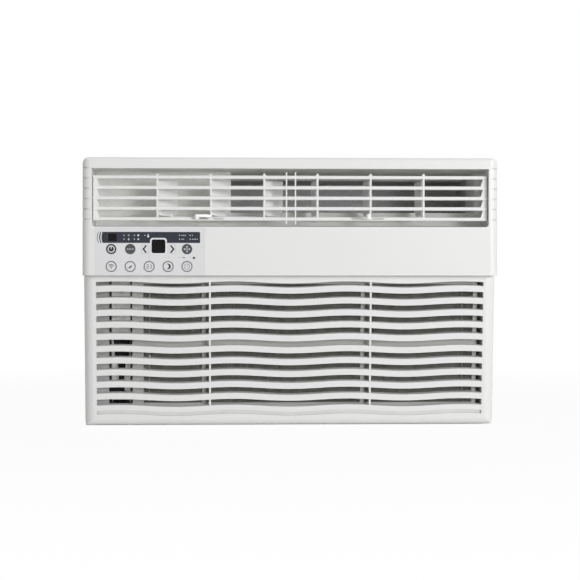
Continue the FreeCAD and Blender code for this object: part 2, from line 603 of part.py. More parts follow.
# ---------------------------------------------------------------- room side: key panel
def control_panel():
    """The printed overlay, its two windows, ten key caps and the board with their switches."""
    middle_x = (OVERLAY_LEFT + OVERLAY_RIGHT) / 2
    middle_z = (OVERLAY_BOTTOM + OVERLAY_TOP) / 2
    sheet = plate_y(middle_x, middle_z, OVERLAY_RIGHT - OVERLAY_LEFT - 0.2,
                    OVERLAY_TOP - OVERLAY_BOTTOM - 0.2, 1.0, FACE_Y, FACE_Y + OVERLAY_THICK)
    surround = plate_y(DISPLAY_X, DISPLAY_Z, DISPLAY_SIDE + 3.2, DISPLAY_SIDE + 3.2, 3.4,
                       FACE_Y - 0.4, FACE_Y + OVERLAY_THICK)
    sheet = join([sheet, surround])
    holes = [key_body(x, z, r, KEY_GAP, FACE_Y - 1, FACE_Y + 1) for _, x, z, r in key_plan()]
    holes.append(plate_y(DISPLAY_X, DISPLAY_Z, DISPLAY_SIDE, DISPLAY_SIDE, 2.5,
                         FACE_Y - 1, FACE_Y + 1))
    holes.append(plate_y(RECEIVER_X, RECEIVER_Z, RECEIVER_WIDE, RECEIVER_TALL, 0.8,
                         FACE_Y - 1, FACE_Y + 1))
    write("control_overlay", sheet.cut(holes))

    play = 0.1
    write("display_window", plate_y(DISPLAY_X, DISPLAY_Z, DISPLAY_SIDE - play,
                                    DISPLAY_SIDE - play, 2.4, FACE_Y - 0.3, FACE_Y + WINDOW_DEEP))
    write("receiver_window", plate_y(RECEIVER_X, RECEIVER_Z, RECEIVER_WIDE - play,
                                     RECEIVER_TALL - play, 0.7, FACE_Y, FACE_Y + WINDOW_DEEP))

    switch_face = BOARD_Y - SWITCH_TALL
    switches = []
    for name, x, z, radius in key_plan():
        cap = key_body(x, z, radius, 0, FACE_Y - KEY_PROUD, FACE_BACK + 0.5)
        flange = key_body(x, z, radius, KEY_FLANGE, FACE_BACK + 0.1, FACE_BACK + 1.3)
        stem = rod(1.8, (x, FACE_BACK + 0.5, z), (0, 1, 0),
                   switch_face - KEY_TRAVEL - 0.2 - FACE_BACK - 0.5)
        write(name, join([cap, flange, stem]))
        half = SWITCH_SIDE / 2
        switches.append(box(x - half, x + half, switch_face, BOARD_Y + 0.5, z - half, z + half))
    board = box(OVERLAY_LEFT + 1.5, OVERLAY_RIGHT - 1, BOARD_Y, BOARD_Y + BOARD_THICK,
                OVERLAY_BOTTOM + 3.5, OVERLAY_TOP - 4.5)
    half = DISPLAY_SIDE / 2 - 1.5
    digits = box(DISPLAY_X - half, DISPLAY_X + half, FACE_BACK + 0.5, BOARD_Y + 0.5,
                 DISPLAY_Z - half, DISPLAY_Z + half)
    sensor = box(RECEIVER_X - 3, RECEIVER_X + 3, FACE_BACK + 1, BOARD_Y + 0.5,
                 RECEIVER_Z - 2.5, RECEIVER_Z + 2.5)
    write("control_board", join([board, digits, sensor, *switches]))


# ---------------------------------------------------------------- room side: louvres and vanes
def vane_places():
    """Axis X of the six vanes, from left to right."""
    return [VANE_PITCH * (n - 2.5) for n in range(6)]


def louver_frame():
    """Five level bars in one tilting frame, with pivot pins in the bezel's cheeks."""
    low = BOTTOM_BAR_Z - BAR_TALL / 2
    high = TOP_BAR_Z + BAR_TALL / 2
    pieces = []
    for n in range(BAR_COUNT):
        z = BOTTOM_BAR_Z + n * BAR_PITCH
        bar = box(-LOUVER_HALF, LOUVER_HALF, BAR_FRONT, BAR_REAR, z - BAR_TALL / 2,
                  z + BAR_TALL / 2)
        pieces.append(rounded(bar, 1.0, lambda e, m: along(e, (1, 0, 0)) and m.y < BAR_FRONT + 1))
    for sign in (-1, 1):
        end = sign * LOUVER_HALF
        inner = sign * (LOUVER_HALF - END_BLOCK)
        foot = sign * (LOUVER_HALF - END_BLOCK + END_BLOCK_SLANT)
        for n in range(BAR_COUNT - 1):
            z0 = BOTTOM_BAR_Z + n * BAR_PITCH
            z1 = z0 + BAR_PITCH
            corners = [(end, z0), (inner, z0), (foot, z1 - 3.5), (foot, z1), (end, z1)]
            pieces.append(prism_y(corners, BAR_FRONT + 0.8, BAR_REAR))
        pieces.append(rod(PIVOT_PIN_R, (end - sign, TILT_Y, BAR_MIDDLE_Z), (sign, 0, 0), 4.5))
    rib_back = BAR_FRONT + 5.0
    for x in vane_places():
        pieces.append(box(x - RIB_WIDE / 2, x + RIB_WIDE / 2, BAR_FRONT + 0.6, rib_back,
                          low + 0.5, high))
        tip = [(x - RIB_TIP_WIDE / 2, high - 0.5), (x + RIB_TIP_WIDE / 2, high - 0.5),
               (x + 0.6, high + RIB_TIP), (x - 0.6, high + RIB_TIP)]
        pieces.append(prism_y(tip, BAR_FRONT + 0.6, rib_back))
        for z in (BOTTOM_BAR_Z, TOP_BAR_Z):
            pieces.append(box(x - 3.5, x + 3.5, BAR_REAR - 1, VANE_Y + 3.2,
                              z - BAR_TALL / 2, z + BAR_TALL / 2))
    for x in (-CENTRE_RIB_X, CENTRE_RIB_X):
        pieces.append(box(x - 0.8, x + 0.8, BAR_FRONT + 0.6, rib_back, low - 4, high + 4))
    frame = join(pieces)
    cuts = []
    for x in vane_places():
        cuts.append(rod(VANE_PIN_R + SHAFT_GAP, (x, VANE_Y, low - 1), (0, 0, 1),
                        high - low + 2))
    for x in (vane_places()[1], vane_places()[4]):
        points = [(x - 26, VANE_LOW), (x - 23, LEVER_NOTCH_Z), (x + 15, LEVER_NOTCH_Z),
                  (x + 18, VANE_LOW)]
        cuts.append(prism_y(points, BAR_FRONT - 1, BAR_REAR + 0.1))
        cuts.append(box(x - 1.5, x + 1.5, BAR_FRONT, BAR_REAR, LEVER_NOTCH_Z, VANE_LOW + 3.2))
    return frame.cut(cuts)


def vane(with_lever):
    """One upright vane about its axis at the origin, blade pointing to +Y."""
    tall = VANE_HIGH - VANE_LOW
    blade = prism_x([(0, VANE_LOW + VANE_CHAMFER * 0.3), (VANE_CHAMFER * 0.6, VANE_LOW),
                     (VANE_DEEP - VANE_CHAMFER, VANE_LOW), (VANE_DEEP, VANE_LOW + VANE_CHAMFER),
                     (VANE_DEEP, VANE_HIGH), (0, VANE_HIGH)], -VANE_THICK / 2, VANE_THICK / 2)
    low_pin = BOTTOM_BAR_Z - BAR_TALL / 2 + 0.6
    high_pin = TOP_BAR_Z + BAR_TALL / 2 - 0.6
    pieces = [
        blade,
        rod(VANE_ROD_R, (0, 0, VANE_LOW), (0, 0, 1), tall),
        rod(VANE_PIN_R, (0, 0, low_pin), (0, 0, 1), high_pin - low_pin),
        rod(LINK_PIN_R + 0.8, (0, LINK_REACH, VANE_LOW - 0.4), (0, 0, 1), 3),
        rod(LINK_PIN_R, (0, LINK_REACH, VANE_LOW - 4.2), (0, 0, 1), 5),
    ]
    if with_lever:
        half = LEVER_WIDE / 2
        arm_low = BOTTOM_BAR_Z + BAR_TALL / 2 + 0.6
        arm = box(-half * 0.6, half * 0.6, -LEVER_REACH + half, 0, arm_low, arm_low + LEVER_THICK)
        tip_low = LEVER_NOTCH_Z + LEVER_RUN
        tip = rod(half, (0, -LEVER_REACH + half, tip_low), (0, 0, 1),
                  arm_low + LEVER_THICK - tip_low)
        lever = turned(join([arm, tip]), -LEVER_BEND, (0, 0, 0), (0, 0, 1))
        pieces.append(lever)
    return join(pieces)


def vanes_and_links():
    """Two groups of three vanes, each group joined by a tie bar behind the bottom bar."""
    names = ("left_vane_outer", "left_vane_lever", "left_vane_inner",
             "right_vane_inner", "right_vane_lever", "right_vane_outer")
    places = vane_places()
    for n, name in enumerate(names):
        blade = vane(with_lever=name.endswith("lever"))
        turn = LEFT_VANE_TURN if n < 3 else RIGHT_VANE_TURN
        blade = turned(blade, -turn, (0, 0, 0), (0, 0, 1))
        blade.translate(V(places[n], VANE_Y, 0))
        write(name, blade)
    top = VANE_LOW - 0.8
    for side, turn, group in (("left", LEFT_VANE_TURN, places[:3]),
                              ("right", RIGHT_VANE_TURN, places[3:])):
        shift_x = LINK_REACH * math.sin(math.radians(turn))
        y = VANE_Y + LINK_REACH * math.cos(math.radians(turn))
        length = group[2] - group[0] + LINK_WIDE
        bar = box(group[0] + shift_x - LINK_WIDE / 2, group[0] + shift_x - LINK_WIDE / 2 + length,
                  y - LINK_WIDE / 2, y + LINK_WIDE / 2, top - LINK_TALL, top)
        bar = rounded(bar, LINK_WIDE / 2 - 0.2, lambda e, m: along(e, (0, 0, 1)))
        holes = [rod(LINK_PIN_R + SHAFT_GAP, (x + shift_x, y, top - 9), (0, 0, 1), 12)
                 for x in group]
        write(side + "_vane_link", bar.cut(holes))


# ---------------------------------------------------------------- room side: intake grille
def wave_edge(height, x0, x1, y):
    """A gently waving edge at this height, lowest at the middle of the panel."""
    steps = max(4, round((x1 - x0) / (WAVE_LONG / 10)))
    points = []
    for n in range(steps + 1):
        x = x0 + (x1 - x0) * n / steps
        points.append(V(x, y, height - WAVE_HIGH * math.cos(2 * math.pi * x / WAVE_LONG)))
    curve = Part.BSplineCurve()
    curve.interpolate(points)
    return curve.toShape(), points[0], points[-1]


def wavy_slot(low, high, deep):
    """A waving band between two heights, cut backwards and upwards into the panel."""
    y = -PANEL_HALF - 1
    bottom, low_left, low_right = wave_edge(low, -SLOT_HALF, SLOT_HALF, y)
    top, high_left, high_right = wave_edge(high, -SLOT_HALF, SLOT_HALF, y)
    rim = Part.Wire([bottom, Part.makeLine(low_right, high_right), top,
                     Part.makeLine(high_left, low_left)])
    run = deep + 1
    band = Part.Face(rim).extrude(V(0, run, run * SLAT_RISE / SLAT_DEEP))
    band.translate(V(0, 0, -SLAT_RISE / SLAT_DEEP))
    return band


def to_panel_pose(shape):
    """Lean a shape built upright about the origin and set it on the hinge axis."""
    shape.rotate(V(0, 0, 0), V(1, 0, 0), PANEL_LEAN)
    shape.translate(V(0, HINGE_Y, HINGE_Z))
    return shape


def intake_grille():
    """The leaning front panel: eleven waving slots between slats, on two hinge pins."""
    half = HALF
    rise = PANEL_RISE + 4
    body = box(-half, half, -PANEL_HALF, PANEL_HALF, 0, rise)
    sole = rod(PANEL_HALF, (-half, 0, 0), (1, 0, 0), WIDTH)
    sole = sole.common(box(-half, half, -PANEL_HALF - 1, 0.5, -PANEL_HALF - 1, 1))
    body = join([body, sole])
    plan = box(-half, half, -PANEL_HALF, 60, -30, rise + 9)
    plan = rounded(plan, PANEL_CORNER, lambda e, m: along(e, (0, 0, 1)) and m.y < 0)
    front = box(-half, half, -30, 60, -PANEL_HALF, rise + 9)
    front = rounded(front, PANEL_FOOT_CORNER, lambda e, m: along(e, (0, 1, 0)) and m.z < 0)
    body = body.common(plan).common(front)

    wall = PANEL_WALL
    room = box(-half + wall, half - wall, -PANEL_HALF + wall, PANEL_HALF + 1,
               -PANEL_HALF, PANEL_RISE - wall)
    room = rounded(room, PANEL_CORNER - wall, lambda e, m: along(e, (0, 0, 1)) and m.y < 0)
    cavity = room.common(box(-half, half, -PANEL_HALF, PANEL_HALF + 1, 0, PANEL_RISE))
    well = rod(PANEL_HALF - wall, (-half + wall, 0, 0), (1, 0, 0), WIDTH - 2 * wall).common(room)
    slot_low = SLOT_FOOT - SLOT_GAP / 2
    slot_high = SLOT_TOP_CENTRE + SLOT_GAP / 2
    grid = box(-SLOT_HALF - wall, SLOT_HALF + wall, -PANEL_HALF, SLAT_BACK,
               slot_low - 3, slot_high + 1)
    groove = SLOT_FOOT - GROOVE_DROP
    backing = box(-SLOT_HALF - wall, SLOT_HALF + wall, -PANEL_HALF,
                  -PANEL_HALF + GROOVE_DEEP + wall, groove - 5, slot_low)
    shell = body.cut([cavity, well]).fuse([grid.common(body), backing.common(body)])
    open_back = box(-half + wall, half - wall, SLAT_BACK, PANEL_HALF + 1, 0, PANEL_RISE - wall)
    shell = shell.cut(open_back)

    slots = []
    for n in range(SLOT_COUNT):
        centre = SLOT_TOP_CENTRE - n * SLOT_PITCH
        trim = TOP_SLOT_TRIM if n == 0 else 0.0
        slots.append(wavy_slot(centre - SLOT_GAP / 2, centre + SLOT_GAP / 2 - trim,
                               SLAT_DEEP + 3))
    slots.append(wavy_slot(groove - GROOVE_TALL / 2, groove + GROOVE_TALL / 2, GROOVE_DEEP))
    shell = shell.cut(slots)

    extras = []
    for x in (-PANEL_RIB_X, PANEL_RIB_X):
        extras.append(box(x - PANEL_RIB_WIDE / 2, x + PANEL_RIB_WIDE / 2, -PANEL_HALF + 0.5,
                          -PANEL_HALF + 5, slot_low - 2, slot_high + 1))
    for sign in (-1, 1):
        middle = sign * HINGE_X
        gap = HINGE_LUG_WIDE / 2 + 0.4
        for side in (-1, 1):
            edge = middle + side * gap
            outer = middle + side * (gap + 3)
            ear = rod(PANEL_HALF - 1.2, (min(edge, outer), 0, 0), (1, 0, 0), 3)
            extras.append(ear)
        extras.append(rod(HINGE_PIN_R, (middle - gap - 1, 0, 0), (1, 0, 0), 2 * gap + 2))
    rail_low = slot_low - 3
    rails = [
        box(FILTER_LEFT - 3, FILTER_RIGHT + 3, SLAT_BACK - 0.5, SLAT_BACK + FILTER_THICK + 1.2,
            rail_low, rail_low + 2.2),
        box(FILTER_LEFT - 3, FILTER_RIGHT + 3, SLAT_BACK - 0.5, SLAT_BACK + FILTER_THICK + 1.2,
            slot_high + 0.2, PANEL_RISE - wall + 0.5),
    ]
    panel = join([shell, *extras, *rails])
    panel = to_panel_pose(panel)
    roof = box(-half - 9, half + 9, FACE_Y - 99, BEZEL_REAR, PANEL_TOP_Z, HEIGHT)
    write("intake_grille", panel.cut(roof))
    filter_pieces(rail_low + 2.2, slot_high + 0.2)


def filter_pieces(low, high):
    """The slide-in filter: a moulded frame and the mesh held in its six windows."""
    y0 = SLAT_BACK + 0.3
    y1 = y0 + FILTER_THICK
    high = high - 0.3
    frame = box(FILTER_LEFT, FILTER_RIGHT, y0, y1, low, high)
    edges = [FILTER_LEFT + FILTER_LEFT_BAR]
    for share in FILTER_POST_SHARE:
        post = FILTER_LEFT + share * (FILTER_RIGHT - FILTER_LEFT)
        edges += [post - FILTER_BAR / 2, post + FILTER_BAR / 2]
    edges.append(FILTER_RIGHT - FILTER_BAR)
    middle = PANEL_RISE * FILTER_MID_SHARE
    rows = [(low + FILTER_FOOT_BAR, middle - FILTER_MID_BAR / 2),
            (middle + FILTER_MID_BAR / 2, high - FILTER_BAR)]
    windows = []
    meshes = []
    mesh_y = (y0 + y1 - MESH_THICK) / 2
    for left, right in zip(edges[::2], edges[1::2]):
        for bottom, top in rows:
            windows.append(box(left, right, y0 - 1, y1 + 1, bottom, top))
            meshes.append(box(left, right, mesh_y, mesh_y + MESH_THICK, bottom, top))
    write("filter_frame", to_panel_pose(frame.cut(windows)))
    write("filter_mesh", to_panel_pose(Part.makeCompound(meshes)))


# ---------------------------------------------------------------- air path
def outlet_duct():
    """Foam duct from the blower to the outlet: roof, rising floor and the blank left wall."""
    front = FACE_BACK + SEAT_GAP
    roof_top = CASE_TOP - CASE_SHEET - SEAT_GAP
    wall_y = CASE_FRONT - SEAT_GAP
    rear = SCROLL_FRONT - SEAT_GAP
    sheet = DUCT_FLOOR
    half = OUTLET_HALF - SEAT_GAP
    crest = DUCT_CREST
    roof = box(-half, half, front, wall_y, OUTLET_TOP, roof_top)
    roof_rear = box(THROAT_LEFT - 4, THROAT_RIGHT + 4, wall_y - 1, rear, OUTLET_TOP, roof_top)
    toe = VANE_Y + VANE_DEEP - 2
    toe_z = OUTLET_BOTTOM + 3
    floor = prism_x([(front, OUTLET_BOTTOM - sheet), (front, OUTLET_BOTTOM), (toe, toe_z),
                     (wall_y, crest), (wall_y, crest - 2 * sheet), (toe + 2, toe_z - sheet)],
                    -half, half)
    floor_rear = box(THROAT_LEFT - 4, THROAT_RIGHT + 4, wall_y - 0.5, rear, crest - sheet, crest)
    blank = box(-half, THROAT_LEFT, wall_y - 4, wall_y, crest - 4, OUTLET_TOP + 1)
    left_wall = box(THROAT_LEFT - 4, THROAT_LEFT, wall_y - 1, rear, crest - 1, OUTLET_TOP + 1)
    right_wall = box(THROAT_RIGHT, THROAT_RIGHT + 4, wall_y - 4, rear, crest - 1, OUTLET_TOP + 1)
    right_step = box(THROAT_RIGHT, half, wall_y - 4, wall_y, crest - 3, OUTLET_TOP + 1)
    return join([roof, roof_rear, floor, floor_rear, blank, left_wall, right_wall, right_step])


def volute_outline(grow):
    """The scroll's (x, z) outline: a growing spiral that opens into the wide throat box."""
    spiral = []
    for step in range(17):
        angle = 120 + 240 * step / 16
        radius = SCROLL_START + SCROLL_GROWTH * step / 16 + grow
        turn = math.radians(angle)
        spiral.append(V(AXLE_X + radius * math.cos(turn), 0, AXLE_Z + radius * math.sin(turn)))
    curve = Part.BSplineCurve()
    curve.interpolate(spiral)
    roof = SCROLL_ROOF + grow
    side = THROAT_RIGHT + grow * SCROLL_SIDE / SCROLL_WALL
    shoulder = DUCT_CREST - 14 - grow / 2
    corners = [
        spiral[-1],
        V(spiral[-1].x, 0, DUCT_CREST - 66 - grow / 2),
        V(side, 0, shoulder),
        V(side, 0, roof),
        V(THROAT_LEFT - grow, 0, roof),
        V(THROAT_LEFT - grow, 0, shoulder),
        spiral[0],
    ]
    return Part.Wire([curve.toShape(), *Part.makePolygon(corners).Edges])


def scroll_housing():
    """Foam volute around the blower wheel, closed front and back, open to the duct."""
    outer = Part.Face(volute_outline(SCROLL_WALL))
    outer.translate(V(0, SCROLL_FRONT, 0))
    inner = Part.Face(volute_outline(0))
    inner.translate(V(0, SCROLL_FRONT + 4, 0))
    body = outer.extrude(V(0, SCROLL_BACK - SCROLL_FRONT, 0))
    hollow = inner.extrude(V(0, SCROLL_BACK - SCROLL_FRONT - 8, 0))
    mouth = box(THROAT_LEFT, THROAT_RIGHT, SCROLL_FRONT - 1, SCROLL_FRONT + 5, DUCT_CREST,
                SCROLL_ROOF)
    eye = rod(SCROLL_INLET_R, (AXLE_X, SCROLL_FRONT - 1, AXLE_Z), (0, 1, 0), 6)
    shaft_hole = rod(14, (AXLE_X, SCROLL_BACK - 6, AXLE_Z), (0, 1, 0), 12)
    foot = box(AXLE_X - 60, AXLE_X + 60, SCROLL_FRONT + 2, SCROLL_BACK - 2, PAN_TOP, AXLE_Z - 100)
    return join([body, foot]).cut([hollow, mouth, eye, shaft_hole])


def inlet_ring():
    """Bell-mouthed ring that leads air from the evaporator into the wheel."""
    outer = SCROLL_INLET_R - 0.2
    y0 = SCROLL_FRONT - 3
    y1 = WHEEL_FRONT + 3
    outline = [V(outer + 10, y0, 0), V(outer + 10, SCROLL_FRONT, 0), V(outer, SCROLL_FRONT, 0),
               V(outer, y1, 0), V(outer - 2.5, y1, 0), V(outer - 2.5, SCROLL_FRONT + 1, 0),
               V(outer + 2, y0, 0), V(outer + 10, y0, 0)]
    ring = Part.Face(Part.makePolygon(outline)).revolve(V(0, 0, 0), V(0, 1, 0), 360)
    ring.translate(V(AXLE_X, 0, AXLE_Z))
    return ring


def blower_wheel():
    """Forward-curved wheel: back plate and hub, a ring of blades and the front rim."""
    centre = (AXLE_X, WHEEL_BACK, AXLE_Z)
    plate = rod(WHEEL_R, (AXLE_X, WHEEL_BACK - 2, AXLE_Z), (0, 1, 0), 2)
    hub = rod(12, (AXLE_X, WHEEL_BACK - 26, AXLE_Z), (0, 1, 0), 26)
    rim = rod(WHEEL_R, (AXLE_X, WHEEL_FRONT, AXLE_Z), (0, 1, 0), 3)
    rim = rim.cut(rod(WHEEL_R - 10, (AXLE_X, WHEEL_FRONT - 1, AXLE_Z), (0, 1, 0), 5))
    blade = box(-0.7, 0.7, WHEEL_FRONT + 1, WHEEL_BACK - 1, -5.5, 5.5)
    blade = turned(blade, 35, (0, 0, 0), (0, 1, 0))
    blade.translate(V(AXLE_X, 0, AXLE_Z + WHEEL_R - 6.5))
    step = 360 / WHEEL_BLADES
    blades = [turned(blade, n * step, centre, (0, 1, 0)) for n in range(WHEEL_BLADES)]
    wheel = join([plate, hub, rim, *blades])
    return wheel.cut(rod(SHAFT_R, (AXLE_X, WHEEL_FRONT, AXLE_Z), (0, 1, 0), 60))


def coil_pack(size, grooves=0):
    """A block of fins between two end plates, its faces parted by upright grooves."""
    block = box(size["x0"], size["x1"], size["y0"] + END_PLATE_LIP, size["y1"] - END_PLATE_LIP,
                size["z0"] + END_PLATE_LIP, size["z1"] - END_PLATE_LIP)
    plates = [box(x, x + END_PLATE, size["y0"], size["y1"], size["z0"], size["z1"])
              for x in (size["x0"] - END_PLATE, size["x1"])]
    parting = []
    pitch = (size["x1"] - size["x0"]) / (grooves + 1)
    for n in range(grooves):
        x = size["x0"] + (n + 1) * pitch
        for y in (size["y0"] + END_PLATE_LIP, size["y1"] - END_PLATE_LIP):
            parting.append(box(x - FIN_GROOVE_WIDE / 2, x + FIN_GROOVE_WIDE / 2,
                               y - FIN_GROOVE_DEEP, y + FIN_GROOVE_DEEP, 0, size["z1"]))
    return join([block.cut(parting) if parting else block, *plates])


def coil_bends(size, rows, skip_left=()):
    """Hairpin bends on both ends of a coil, in two banks."""
    bends = []
    ring = Part.makeTorus(BEND_R, COIL_TUBE_R, V(0, 0, 0), V(0, 1, 0))
    deep = size["y1"] - size["y0"]
    for bank in (0.28, 0.72):
        y = size["y0"] + deep * bank
        for n in range(rows):
            left = n % 2 == 0
            if left and n in skip_left and bank < 0.5:
                continue
            z = size["z0"] + 20 + BEND_R * (2 * n + 1) - BEND_R
            x = size["x0"] - END_PLATE if left else size["x1"] + END_PLATE
            bend = ring.copy()
            bend.translate(V(x, y, z + BEND_R))
            side = box(x - 40, x, y - 9, y + 9, z - 20, z + 40) if left else \
                box(x, x + 40, y - 9, y + 9, z - 20, z + 40)
            bends.append(bend.common(side))
    return Part.makeCompound(bends)


# ---------------------------------------------------------------- chassis
def base_pan():
    """Steel pan: a floor with a rim above and a hem below that rests on the sill."""
    front = PAN_FRONT
    rear = PAN_REAR
    outer = box(-PAN_HALF, PAN_HALF, front, rear, 0, PAN_RIM)
    above = box(-PAN_HALF + PAN_SHEET, PAN_HALF - PAN_SHEET, front + PAN_SHEET, rear - PAN_SHEET,
                PAN_TOP, PAN_RIM + 1)
    below = box(-PAN_HALF + PAN_SHEET, PAN_HALF - PAN_SHEET, front + PAN_SHEET, rear - PAN_SHEET,
                -1, PAN_FLOOR)
    nose = box(-PAN_HALF - 1, PAN_HALF + 1, front - 1, BEZEL_REAR + SEAT_GAP, -1, PAN_FLOOR)
    rim_cut = box(-PAN_HALF - 1, PAN_HALF + 1, front - 1, front + 2, PAN_TOP + 4, PAN_RIM + 1)
    pan = outer.cut([above, below, nose, rim_cut])
    studs = [rod(STUD_R, (x, y, PAN_FLOOR), (0, 0, 1), 30) for x, y in compressor_feet()]
    pan = join([pan, *studs])
    holes = []
    for x in (-BASE_HOLE_X, BASE_HOLE_X):
        for y in BASE_HOLE_Y:
            holes.append(rod(BASE_HOLE_R, (x, y, -1), (0, 0, 1), 9))
    holes.append(rod(DRAIN_R + DRAIN_COLLAR, (DRAIN_X, rear - 5, DRAIN_Z), (0, 1, 0), 9))
    for sign in (-1, 1):
        for y in CASE_SCREW_Y:
            holes.append(rod(2.0, (sign * (CASE_HALF + 5), y, CASE_SCREW_Z), (-sign, 0, 0), 12))
    return pan.cut(holes)


def compressor_feet():
    """The three studs that carry the compressor."""
    places = []
    for angle in (90, 210, 330):
        turn = math.radians(angle)
        places.append((COMPRESSOR_X + COMPRESSOR_FOOT_R * math.cos(turn),
                       COMPRESSOR_Y + COMPRESSOR_FOOT_R * math.sin(turn)))
    return places


def outer_case():
    """Wrap-round steel cover with pressed air slots near the rear."""
    outer = box(-CASE_HALF, CASE_HALF, CASE_FRONT, CASE_REAR, 3, CASE_TOP)
    outer = rounded(outer, 3.0, lambda e, m: along(e, (0, 1, 0)) and m.z > 100)
    inner = box(-CASE_INNER, CASE_INNER, CASE_FRONT - 1, CASE_REAR + 1, 0, CASE_TOP - CASE_SHEET)
    inner = rounded(inner, 2.0, lambda e, m: along(e, (0, 1, 0)) and m.z > 100)
    case = outer.cut(inner)
    cuts = []
    pitch = (CASE_TOP - 61 - CASE_SLOT_LOW) / (CASE_SLOT_ROWS - 1)
    span = CASE_HALF - TOP_SLOT_SIDE
    for row in range(CASE_SLOT_ROWS):
        z = CASE_SLOT_LOW + row * pitch
        for column in range(CASE_SLOT_COLUMNS):
            y = CASE_SLOT_FRONT + column * (CASE_SLOT_LONG + 12)
            cuts.append(box(-CASE_HALF - 1, CASE_HALF + 1, y, y + CASE_SLOT_LONG,
                            z, z + CASE_SLOT_TALL))
    for column in range(TOP_SLOT_COLUMNS):
        x = -span + column * 2 * span / (TOP_SLOT_COLUMNS - 1)
        cuts.append(box(x - CASE_SLOT_TALL / 2, x + CASE_SLOT_TALL / 2, CASE_SLOT_FRONT,
                        CASE_SLOT_FRONT + CASE_SLOT_LONG, CASE_TOP - 5, CASE_TOP + 1))
    for sign in (-1, 1):
        for z in BEZEL_SCREW_Z:
            cuts.append(rod(2.0, (sign * (CASE_HALF + 5), CASE_FRONT + 6, z), (-sign, 0, 0), 9))
        for y in CASE_SCREW_Y:
            cuts.append(rod(2.0, (sign * (CASE_HALF + 5), y, CASE_SCREW_Z), (-sign, 0, 0), 9))
        cuts.append(rod(TOP_HOLE_R, (sign * TOP_HOLE_X, TOP_HOLE_Y, CASE_TOP - 5), (0, 0, 1), 9))
    return case.cut(cuts)


def screw(tip, direction, length, head_r):
    """A washer-headed screw lying along direction, head at its far end."""
    shank = rod(1.9, tip, direction, length)
    end = V(*tip) + V(*direction) * length
    head = rod(head_r, (end.x, end.y, end.z), direction, 1.6)
    return join([shank, head])


def screws():
    """Four screws hold the bezel to the case and four hold the case to the pan."""
    bezel = []
    case = []
    for sign in (-1, 1):
        inward = sign * (CASE_INNER - 3)
        for z in BEZEL_SCREW_Z:
            length = HALF - 1.6 - (CASE_INNER - 3)
            bezel.append(screw((inward, CASE_FRONT + 6, z), (sign, 0, 0), length, 3.8))
        for y in CASE_SCREW_Y:
            case.append(screw((sign * (PAN_HALF - 4), y, CASE_SCREW_Z), (sign, 0, 0),
                              CASE_HALF - PAN_HALF + 4, 4.0))
    write("bezel_screws", Part.makeCompound(bezel))
    write("case_screws", Part.makeCompound(case))


def rear_grille():
    """Steel guard over the condenser: a flat frame with level wires and uprights."""
    y0 = CASE_REAR
    frame = box(-CASE_HALF, CASE_HALF, y0, y0 + 2, 3, CASE_TOP)
    frame = frame.cut(box(-CASE_HALF + GUARD_BORDER, CASE_HALF - GUARD_BORDER, y0 - 1, y0 + 3,
                          3 + GUARD_BORDER, CASE_TOP - GUARD_BORDER))
    hose = rod(DRAIN_R + HOSE_SPACE, (DRAIN_X, y0 - 1, DRAIN_Z), (0, 1, 0), 4)
    half = GUARD_WIRE / 2
    low = DRAIN_Z + DRAIN_R + HOSE_SPACE + 4
    pitch = (CASE_TOP - GUARD_BORDER - 7 - low) / (GUARD_WIRES - 1)
    wires = []
    for n in range(GUARD_WIRES):
        z = low + n * pitch
        wires.append(box(-CASE_HALF + 8, CASE_HALF - 8, REAR - GUARD_WIRE, REAR,
                         z - half, z + half))
    for n in range(GUARD_UPRIGHTS):
        x = -GUARD_REACH + 2 * GUARD_REACH * n / (GUARD_UPRIGHTS - 1)
        wires.append(box(x - 2, x + 2, y0 + 1, REAR - 1, 8, CASE_TOP - 8))
    return join([frame.cut(hose), *wires])


def bulkhead():
    """Steel partition between the room side and the weather side."""
    sheet = box(-PAN_HALF + 2, PAN_HALF - 2, BULKHEAD_Y, BULKHEAD_Y + PAN_SHEET,
                PAN_TOP, CASE_TOP - CASE_SHEET - SEAT_GAP)
    foot = box(-PAN_HALF + 2, PAN_HALF - 2, BULKHEAD_Y, BULKHEAD_Y + 12, PAN_TOP,
               PAN_TOP + PAN_SHEET)
    holes = [rod(14, (AXLE_X, BULKHEAD_Y - 1, AXLE_Z), (0, 1, 0), 9),
             rod(6.5, (SUCTION_X, BULKHEAD_Y - 1, SUCTION_Z), (0, 1, 0), 9),
             rod(3.0, (CAPILLARY_X, BULKHEAD_Y - 1, CAPILLARY_Z), (0, 1, 0), 9)]
    return join([sheet, foot]).cut(holes)


